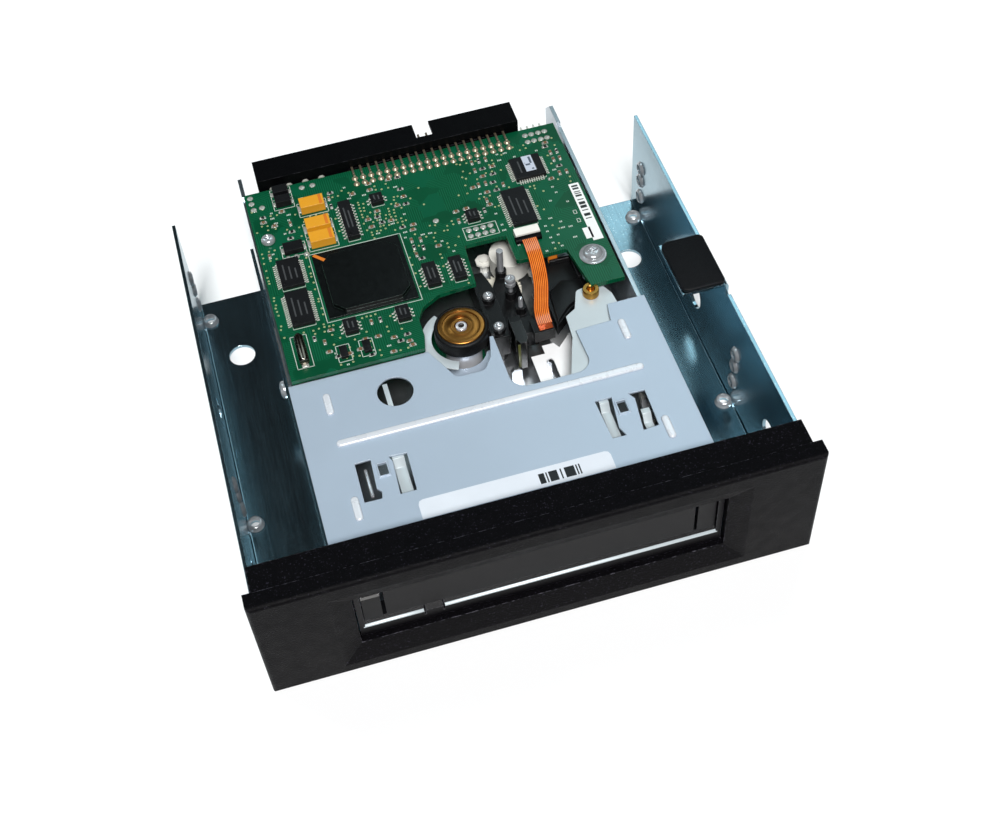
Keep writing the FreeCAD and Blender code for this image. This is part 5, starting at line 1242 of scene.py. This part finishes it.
class TAPE_OT_board_fittings(bpy.types.Operator):
    """Crystal can with its solder, and the flat cable socket's latch and fingers"""
    bl_idname = "tape_drive.board_fittings"
    bl_label = "Board fittings"

    def execute(self, context):
        low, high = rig.box("crystal_can")
        middle = (low + high) / 2
        y_start, y_end = (low.y - FRONT) / MM, (high.y - FRONT) / MM
        x, z, half = middle.x / MM, middle.z / MM, (high.z - low.z) / 2 / MM
        length = y_end - y_start
        can = turned("crystal", [(0, z), (half * 0.8, z), (half * 0.95, z + 0.12), (half, z + 0.5),
                                 (half, z + length - 1.3), (half * 0.9, z + length - 0.85),
                                 (half * 0.55, z + length - 0.8), (half * 0.5, z + length),
                                 (0, z + length)], (x, y_start), 32)
        lay_along(can, (x, y_start, z), (0, 1, 0))
        fit(paint(can, FINISH["crystal"]), "crystal_metal", replaces=("crystal_can",))
        puddle = block("crystal_solder", (x - 1.0, y_start - 0.9, BOARD_TOP),
                       (x + 1.0, y_start + 1.2, BOARD_TOP + 0.5), 0.22, 3)
        fit(paint(puddle, FINISH["solder"]), "pin_tin")
        front, rear = 100.7, 102.3
        latch = outline("flex_latch", [(22.5, front, 35.1), (22.5, rear, 35.1), (22.5, rear, 36.7),
                                       (22.5, front + 0.5, 36.5), (22.5, front, 36.0)],
                        (7.9, 0, 0), 0.1)
        fit(paint(latch, FINISH["connector"]), "connector_black")
        fingers = block("flex_fingers", (-0.16, 104.9, 35.1), (0.16, 106.2, 35.45), 0.05)
        fingers = stamp(fingers, [(23.6 + 0.6 * step, 0, 0, 0) for step in range(11)])
        fit(paint(fingers, FINISH["tin"]), "pin_tin")
        return {"FINISHED"}


# ------------------------------------------------------------------ drive train and head

class TAPE_OT_capstan(bpy.types.Operator):
    """Turned brass hub with its grooves, the rubber tyre and the bright rotor"""
    bl_idname = "tape_drive.capstan"
    bl_label = "Capstan"

    def execute(self, context):
        low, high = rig.box("capstan_hub")
        bottom, top = low.z / MM, high.z / MM
        hub = turned("hub", [
            (1.06, bottom), (4.5, bottom), (6.62, bottom + 0.3), (6.7, bottom + 0.5),
            (6.7, top - 0.35), (6.55, top - 0.1), (6.3, top), (5.4, top), (5.3, top - 0.1),
            (5.25, top - 0.34), (5.0, top - 0.38), (3.3, top - 0.3), (3.2, top - 0.22),
            (2.9, top - 0.2), (2.8, top - 0.3), (2.0, top - 0.32), (1.9, top - 0.5),
            (1.9, top - 1.2), (1.06, top - 1.2), (1.06, bottom)], CAPSTAN, 96)
        fit(paint(hub, FINISH["brass"]), "brass", "capstan", ("capstan_hub",))
        boss = turned("shaft_end", [(0, top - 1.3), (1.55, top - 1.3), (1.6, top - 0.2),
                                    (1.4, top - 0.02), (0.85, top), (0.78, top - 0.7),
                                    (0, top - 0.75)], CAPSTAN, 48)
        fit(paint(boss, FINISH["rotor"]), "rotor_steel", "capstan")
        # A dark cup set in the shaft end's recess: painted shade in the bore.
        bore = turned("shaft_bore", [(0, top - 0.62), (0.8, top - 0.62), (0.8, top - 0.12),
                                     (1.1, top - 0.03), (1.1, top - 0.7), (0, top - 0.7)],
                      CAPSTAN, 40)
        fit(paint(bore, FINISH["bore"]), "rotor_steel", "capstan")
        low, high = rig.box("capstan_tyre")
        bottom, top = low.z / MM, high.z / MM
        tyre = turned("tyre", [(6.76, bottom), (7.3, bottom), (7.6, bottom + 0.2),
                               (7.7, bottom + 0.6), (7.7, top - 0.75), (7.6, top - 0.35),
                               (7.35, top - 0.08), (7.0, top), (6.76, top - 0.02),
                               (6.76, bottom)], CAPSTAN, 96)
        fit(paint(tyre, FINISH["tyre"]), "tyre_rubber", "capstan", ("capstan_tyre",))
        return {"FINISHED"}


class TAPE_OT_posts(bpy.types.Operator):
    """Guide pins with their collars, and the brass post"""
    bl_idname = "tape_drive.posts"
    bl_label = "Pins and posts"

    def execute(self, context):
        low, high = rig.box("guide_pins")
        bottom, top = low.z / MM, high.z / MM
        pins = [turned("pin", [(0, bottom), (0.68, bottom), (0.68, 29.9), (1.35, 30.0),
                               (1.6, 30.2), (1.6, 31.3), (1.3, 31.45), (1.3, 31.8), (1.55, 31.95),
                               (1.55, top - 0.35), (1.25, top), (0.7, top), (0.55, top - 0.3),
                               (0, top - 0.35)], (17.6, 91.0), 40),
                turned("pin", [(0, bottom), (0.68, bottom), (0.68, 30.6), (0.5, 30.95),
                               (0, 31.0)], (18.7, 84.5), 32)]
        fit(paint(joined("slide_pins", pins), FINISH["shaft"]), "shaft_steel",
            replaces=("guide_pins",))
        low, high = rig.box("brass_post")
        bottom, top = low.z / MM, high.z / MM
        post = turned("stand_off", [(0, bottom), (1.4, bottom), (1.4, 30.6), (2.05, 30.9),
                                    (2.05, 32.2), (2.35, 32.3), (2.35, top + 0.9),
                                    (2.2, top + 1.2), (1.3, top + 1.2), (1.0, top + 0.9),
                                    (0.9, top - 0.6), (0, top - 0.7)], (37.8, 78.4), 48)
        fit(paint(post, FINISH["post_brass"]), "brass", replaces=("brass_post",))
        return {"FINISHED"}


RIBBON_ROUTE = [(26.5, 103.4, 36.22), (26.5, 100.6, 36.24), (26.5, 97.2, 36.1),
                (26.4, 93.6, 35.1), (26.2, 90.4, 33.5), (25.6, 86.6, 32.3), (24.4, 82.6, 31.3),
                (23.3, 79.4, 30.5), (22.9, 76.9, 29.9), (22.8, 75.2, 29.72), (22.8, 74.0, 29.7)]


class TAPE_OT_ribbon(bpy.types.Operator):
    """Flat amber cable from its socket on the board to the head"""
    bl_idname = "tape_drive.ribbon"
    bl_label = "Head cable"

    def execute(self, context):
        clear_selection()
        bpy.ops.curve.primitive_nurbs_path_add()
        path = bpy.context.object
        path.data.splines.clear()
        spline = path.data.splines.new("NURBS")
        spline.points.add(len(RIBBON_ROUTE) - 1)
        for point, place in zip(spline.points, RIBBON_ROUTE):
            point.co = (*at(*place), 1.0)
        spline.order_u = 3
        spline.use_endpoint_u = True
        spline.resolution_u = 8
        path.location = (0, 0, 0)
        steps = [corner.co.copy() for corner in
                 bpy.data.meshes.new_from_object(path).vertices]
        bpy.data.objects.remove(path)
        half = context.scene.tape_drive_sizes.ribbon_wide / 2
        bpy.ops.mesh.primitive_plane_add(size=MM, location=steps[0])
        ribbon = named("head_ribbon")
        settle()
        bpy.ops.object.mode_set(mode="EDIT")
        bpy.ops.mesh.merge(type="CENTER")
        bpy.ops.transform.translate(value=(-half, 0, 0))
        bpy.ops.mesh.extrude_region_move(TRANSFORM_OT_translate={"value": (2 * half, 0, 0)})
        bpy.ops.mesh.select_all(action="SELECT")
        for first, second in zip(steps, steps[1:]):
            bpy.ops.mesh.extrude_region_move(TRANSFORM_OT_translate={"value": second - first})
        bpy.ops.object.mode_set(mode="OBJECT")
        layer = ribbon.data.uv_layers[0]
        for loop in ribbon.data.loops:
            place = ribbon.data.vertices[loop.vertex_index].co
            nearest = min(range(len(steps)), key=lambda index: abs(steps[index].y - place.y))
            across = (place.x - steps[nearest].x) / (2 * half) + 0.5
            layer.data[loop.index].uv = (across, nearest / (len(steps) - 1))
        thick = ribbon.modifiers.new("Film", "SOLIDIFY")
        thick.thickness = 0.16 * MM
        thick.offset = 0.0
        bpy.ops.object.modifier_apply(modifier=thick.name)
        bpy.ops.object.shade_smooth_by_angle(angle=math.radians(50))
        paint(ribbon, FINISH["flex"])
        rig.slot(ribbon, "flex_amber")
        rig.replaces(ribbon, "head_flex", "head_flex_tail")
        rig.blend(ribbon, "root", "head_carriage", at(26.3, 92.0, 34.5), at(22.9, 77.5, 30.0))
        return {"FINISHED"}


# ------------------------------------------------------------------ sheet metal

def around_capstan(radius, degrees):
    """A point at a radius and an angle about the capstan's axis."""
    turn = math.radians(degrees)
    return (CAPSTAN[0] + radius * math.cos(turn), CAPSTAN[1] + radius * math.sin(turn))


def stadium(middle_x, middle_y, long, wide, along="X", corners=10):
    """Points of a bar with round ends."""
    points = []
    for end in (1, -1):
        for index in range(corners + 1):
            angle = -QUARTER + math.pi * index / corners + (0 if end == 1 else math.pi)
            u = end * (long / 2 - wide / 2) + wide / 2 * math.cos(angle)
            v = wide / 2 * math.sin(angle)
            points.append((middle_x + (u if along == "X" else -v),
                           middle_y + (v if along == "X" else u)))
    return points


class TAPE_OT_cover_beads(bpy.types.Operator):
    """Round beads over the cover's plain ones, in a paler paint that is a painted highlight, and its bare label"""
    bl_idname = "tape_drive.cover_beads"
    bl_label = "Cover beads"

    def execute(self, context):
        beads = []
        base = COVER_TOP - 0.25
        rows = [(0, 48.0, 85.6, 2.2, "X")]
        for x in (42.1, -42.1):
            rows += [(x, 26.5, 7.6, 2.1, "Y"), (x, 61.8, 7.4, 2.1, "Y")]
        for x, y, long, wide, along in rows:
            ends = [(u, v, base) for u, v in stadium(x, y, long, wide, along)]
            beads.append(outline("bead", ends, (0, 0, 1.02), 0.6, 5))
        fit(paint(joined("cover_beads", beads), FINISH["bead"]), "cover_paint")
        corners = [(-26.7, 18.4), (24.9, 18.4), (24.9, 22.9), (24.5, 23.9), (23.6, 24.3),
                   (-25.4, 24.3), (-26.3, 23.9), (-26.7, 22.9)]
        label = flat("cover_label", corners, COVER_TOP, 0.06)
        fit(paint(label, FINISH["cover_label"]), "cover_paint")
        return {"FINISHED"}


MOUNT_ROWS, MOUNT_SIDE = (52.4, 131.64), 69.85   # the bracket's threaded holes


class TAPE_OT_collars(bpy.types.Operator):
    """Bright threaded collars in the bracket's floor and walls"""
    bl_idname = "tape_drive.collars"
    bl_label = "Threaded collars"

    def execute(self, context):
        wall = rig.box("adapter_bracket")[1].x / MM - 1.0
        collars = []
        for side in (1, -1):
            for row in MOUNT_ROWS:
                collars.append(turned("collar", [
                    (1.45, 0.95), (1.45, 2.3), (1.62, 2.5), (1.95, 2.45), (2.2, 2.2),
                    (2.3, 1.3), (2.6, 0.98), (1.45, 0.95)], (side * MOUNT_SIDE, row), 32))
                for z in (10.0, 21.84, 17.0):
                    wide = 1.5 if z != 17.0 else 1.45
                    ring = turned("collar", [
                        (wide, z - 0.05), (wide, z + 0.7), (wide + 0.2, z + 0.9),
                        (wide + 0.5, z + 0.8), (wide + 0.75, z + 0.4), (wide + 1.0, z),
                        (wide, z - 0.05)], (side * wall, row), 32)
                    collars.append(lay_along(ring, (side * wall, row, z), (-side, 0, 0)))
        fit(paint(joined("threaded_collars", collars), FINISH["steel"]), "bracket_zinc")
        return {"FINISHED"}


class TAPE_OT_foam(bpy.types.Operator):
    """Soft foam pad with rounded edges, glued on the tab"""
    bl_idname = "tape_drive.foam"
    bl_label = "Foam pad"

    def execute(self, context):
        low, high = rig.box("foam_pad")
        left, right = low.x / MM - 0.75, high.x / MM + 0.7
        front, rear = (low.y - FRONT) / MM - 0.75, (high.y - FRONT) / MM + 0.35
        corners = [(left + 2, front), (right - 1, front), (right, front + 1), (right, rear - 1),
                   (right - 1, rear), (left + 2, rear), (left + 0.6, rear - 0.6),
                   (left, rear - 2), (left, front + 2), (left + 0.6, front + 0.6)]
        pad = outline("foam_cushion", [(x, y, low.z / MM) for x, y in corners],
                      (0, 0, (high.z - low.z) / MM), 0.45, 4)
        fit(paint(pad, FINISH["foam"]), "foam", replaces=("foam_pad",))
        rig.padded(pad, fill=0.9)
        return {"FINISHED"}


class TAPE_OT_window_leaves(bpy.types.Operator):
    """Pale leaf springs and a bright pin that show through the cover's windows"""
    bl_idname = "tape_drive.window_leaves"
    bl_label = "Window leaves"

    def execute(self, context):
        under = COVER_TOP - 0.62
        leaves = []
        for x, wide, front, rear in ((-29.7, 3.2, 27.6, 39.4), (27.5, 2.6, 27.4, 39.8),
                                     (37.2, 2.4, 27.6, 33.2)):
            line = [(front - 1.6, under), (front, under - 0.1), (front + 1.4, under - 1.9),
                    (rear - 1.6, under - 2.3), (rear, under - 0.1), (rear + 1.6, under)]
            section = line + [(y, z - 0.35) for y, z in reversed(line)]
            leaves.append(outline("leaf", [(x, y, z) for y, z in section], (wide, 0, 0), 0.08))
        fit(paint(joined("window_leaves", leaves), FINISH["plate"]), "pale_plate")
        pin = turned("pin", [(0, 0), (0.42, 0), (0.5, 0.3), (0.5, 8.6), (0.42, 8.9), (0, 8.9)],
                     (-37.3, 29.6), 24)
        level = under - 0.5
        pin.data.transform(Matrix.Translation((0, 0, level * MM)))
        lay_along(pin, (-37.3, 29.6, level), (0, 1, 0))
        fit(paint(pin, FINISH["shaft"]), "shaft_steel")
        strip = block("spy_strip", (-26.6, 55.4, level), (-25.2, 64.6, under - 0.02), 0.15)
        fit(paint(strip, FINISH["plate"]), "pale_plate")
        return {"FINISHED"}


class TAPE_OT_motor_surround(bpy.types.Operator):
    """Pale pressed ring beside the capstan, over its motor board"""
    bl_idname = "tape_drive.motor_surround"
    bl_label = "Motor surround"

    def execute(self, context):
        inner, outer = 8.7, 11.6
        points = []
        for radius, turns in ((outer, range(0, 21)), (inner, range(20, -1, -1))):
            for index in turns:
                points.append((*around_capstan(radius, 118 + 6.6 * index), 30.9))
        crescent = outline("motor_crescent", points, (0, 0, 0.5), 0.1)
        foot = block("motor_foot", (-11.6, 73.0, 20.2), (-10.2, 76.0, 31.0), 0.15)
        fit(paint(joined("motor_surround", [crescent, foot]), FINISH["plate"]), "pale_plate")
        return {"FINISHED"}


class TAPE_OT_capstan_apron(bpy.types.Operator):
    """Sheet that shows under the cover's cut-out, in front of the capstan"""
    bl_idname = "tape_drive.capstan_apron"
    bl_label = "Capstan apron"

    def execute(self, context):
        arc = [around_capstan(6.6, angle) for angle in range(-20, -161, -14)]
        points = [(-12.3, 72.6), (-9.9, 65.6), (-7.0, 59.5), (2.0, 59.5), (5.0, 64.0), (6.6, 71.0),
                  (6.6, 73.1)]
        sheet = flat("capstan_apron", points + arc, 24.9, 0.5)
        fit(paint(sheet, FINISH["cover"]), "cover_paint")
        return {"FINISHED"}


class TAPE_OT_head_details(bpy.types.Operator):
    """White sheet under the head, painted light that stands in for the lit backdrop seen through the drive; raised
    housing lid; head winding; and an olive strip on the tongue, which is painted shade
    """
    bl_idname = "tape_drive.head_details"
    bl_label = "Head details"

    def execute(self, context):
        # Painted light: a white sheet where the lit backdrop shows through the drive, below the head.
        guide = flat("white_guide", [
            (17.3, 58), (20.9, 58), (20.9, 67), (21.4, 68.2), (22.6, 68.2), (23.1, 67), (23.1, 58),
            (33, 58), (33, 77.0), (31.2, 76.3), (26.0, 71.2), (24.9, 73.2), (21.4, 73.2),
            (21.4, 70.2), (17.3, 70.2)], 20.65, 0.6)
        fit(paint(guide, FINISH["white_plate"]), "pale_plate")
        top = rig.box("sensor_housing")[1].z / MM
        lid = outline("housing_lid", [(x, y, top) for x, y in (
            (26.3, 72.6), (30.9, 77.2), (34.4, 79.3), (37.2, 81.0), (37.2, 86.0), (31.5, 87.2),
            (27.2, 84.2))], (0, 0, 0.9), 0.3, 3)
        fit(paint(lid, FINISH["head_black"]), "head_black")
        rib = outline("housing_rib", [(x, y, top) for x, y in (
            (36.6, 86.6), (37.9, 86.6), (37.9, 95.4), (30.6, 95.4), (30.6, 94.4), (36.6, 94.4))],
            (0, 0, 1.6), 0.2)
        fit(paint(rib, FINISH["head_black"]), "head_black")
        tab = block("amber_tab", (30.4, 95.2, 30.1), (33.2, 96.4, 33.0), 0.2)
        fit(paint(tab, FINISH["amber"]), "flex_amber")
        wires = block("head_winding", (20.6, 72.0, 29.45), (24.7, 72.35, 29.8), 0.15, 3)
        wires = stamp(wires, [(20.6, 72.0 + 0.42 * turn, 29.45, 0.0) for turn in range(5)],
                      (20.6, 72.0, 29.45))
        fit(paint(wires, FINISH["copper"]), "flex_amber", "head_carriage")
        # A thin olive strip on the tongue's front: painted shade on the tape head's side.
        strip = block("tongue_facing", (13.35, 68.9, 19.4), (14.1, 69.05, 29.4), 0.05)
        fit(paint(strip, FINISH["olive"]), "ferrite", "head_carriage")
        return {"FINISHED"}


class TAPE_OT_door_lip(bpy.types.Operator):
    """Pale strip along the lip below the door, on both sides of its clip: a painted highlight on the lip's edge"""
    bl_idname = "tape_drive.door_lip"
    bl_label = "Door lip"

    def execute(self, context):
        edges = []
        # Each pale strip is a painted highlight along the lip's top edge.
        for left, right in ((-47.9, -31.9), (-26.3, 47.9)):
            edges.append(outline("worn_edge", [(left, 3.32, 14.55), (left, 3.36, 14.95),
                                               (left, 3.95, 15.3), (left, 4.0, 14.9)],
                                 (right - left, 0, 0), 0.05))
        fit(paint(joined("door_lip", edges), FINISH["plate"]), "faceplate_plastic")
        return {"FINISHED"}


# ------------------------------------------------------------------ stage

CAMERA_PLACE = at(-50.65, -188.57, 349.12)
LOOK_RIGHT = Vector((0.96267, -0.26202, -0.0679))
LOOK_DOWN = Vector((-0.24709, -0.74826, -0.61567))
LENS = 53.44
SHIFT = (0.0386, -0.0244)
SUN_FROM, SUN_POWER, SUN_ANGLE = (-0.06, -0.55, 0.83), 3.9, math.radians(18)
LIT_SPOT, COOL = (0.06, 0, 0), (0.74, 0.95, 1.0)


def softbox(name, place, size, power):
    """A cool rectangular light that faces the drive."""
    clear_selection()
    bpy.ops.object.light_add(type="AREA", location=place)
    lamp = bpy.context.object
    lamp.name = name
    lamp.data.shape = "RECTANGLE"
    lamp.data.size, lamp.data.size_y = size
    lamp.data.energy = power
    lamp.data.color = COOL
    lamp.rotation_euler = (Vector(LIT_SPOT) - Vector(place)).to_track_quat("-Z", "Y").to_euler()


class TAPE_OT_stage(bpy.types.Operator):
    """Pale floor, soft studio lights and the camera"""
    bl_idname = "tape_drive.stage"
    bl_label = "Stage"

    def execute(self, context):
        clear_selection()
        bpy.ops.mesh.primitive_plane_add(size=8, location=(0, 0, CAD_LOW.z - 0.0002))
        floor = named("floor")
        settle()
        paint(floor, finish("floor_paper", rgb(250, 250, 250), 0.7, grain=900.0, bump=0.01,
                            shade=0.985, coarse=3.0))
        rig.stage(floor)
        bpy.ops.object.light_add(type="SUN", location=(-0.4, -0.8, 1.4))
        key = bpy.context.object
        key.name = "key"
        key.data.energy = SUN_POWER
        key.data.angle = SUN_ANGLE
        key.rotation_euler = Vector(SUN_FROM).to_track_quat("Z", "Y").to_euler()
        softbox("window", (0.5, 0.82, 1.22), (0.5, 0.9), 3.0)
        softbox("pane", (-0.74, 0.8, 1.1), (0.34, 0.8), 2.6)
        world = bpy.data.worlds.new("studio")
        world.use_nodes = True
        sky = world.node_tree.nodes["Background"]
        sky.inputs["Color"].default_value = (0.93, 0.96, 1.0, 1.0)
        sky.inputs["Strength"].default_value = 0.025
        context.scene.world = world
        context.scene.view_settings.view_transform = "Standard"
        bpy.ops.object.camera_add(location=CAMERA_PLACE)
        camera = bpy.context.object
        right = LOOK_RIGHT.normalized()
        up = (-LOOK_DOWN).normalized()
        back = right.cross(up).normalized()
        up = back.cross(right)
        camera.rotation_euler = Matrix((right, up, back)).transposed().to_euler()
        camera.data.lens = LENS
        camera.data.sensor_width = 36.0
        camera.data.shift_x, camera.data.shift_y = SHIFT
        camera.data.clip_start, camera.data.clip_end = 0.01, 20
        context.scene.camera = camera
        return {"FINISHED"}


# ------------------------------------------------------------------ registration

class TAPE_PT_panel(bpy.types.Panel):
    """Lists the drive's pieces and their settings"""
    bl_idname = "TAPE_PT_panel"
    bl_label = "Tape drive"
    bl_space_type = "VIEW_3D"
    bl_region_type = "UI"
    bl_category = "Tape drive"

    def draw(self, context):
        for group in (context.scene.tape_drive_sizes, context.scene.tape_drive_colours):
            for key in group.__annotations__:
                self.layout.prop(group, key)
        for step in OPERATORS:
            self.layout.operator(step.bl_idname)


OPERATORS = [value for key, value in list(globals().items()) if key.startswith("TAPE_OT_")]
GROUPS = (TapeDriveSizes, TapeDriveColours)


def register():
    for item in (*GROUPS, *OPERATORS, TAPE_PT_panel):
        bpy.utils.register_class(item)
    bpy.types.Scene.tape_drive_sizes = bpy.props.PointerProperty(type=TapeDriveSizes)
    bpy.types.Scene.tape_drive_colours = bpy.props.PointerProperty(type=TapeDriveColours)


def unregister():
    del bpy.types.Scene.tape_drive_colours
    del bpy.types.Scene.tape_drive_sizes
    for item in reversed((*GROUPS, *OPERATORS, TAPE_PT_panel)):
        bpy.utils.unregister_class(item)


def main():
    register()
    for step in OPERATORS:
        family, action = step.bl_idname.split(".")
        getattr(getattr(bpy.ops, family), action)()
    low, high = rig.bounds()
    with open("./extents.json", "w") as report:
        json.dump({"cad": [list(CAD_LOW), list(CAD_HIGH)], "visual": [list(low), list(high)]},
                  report)


if __name__ == "__main__":
    main()
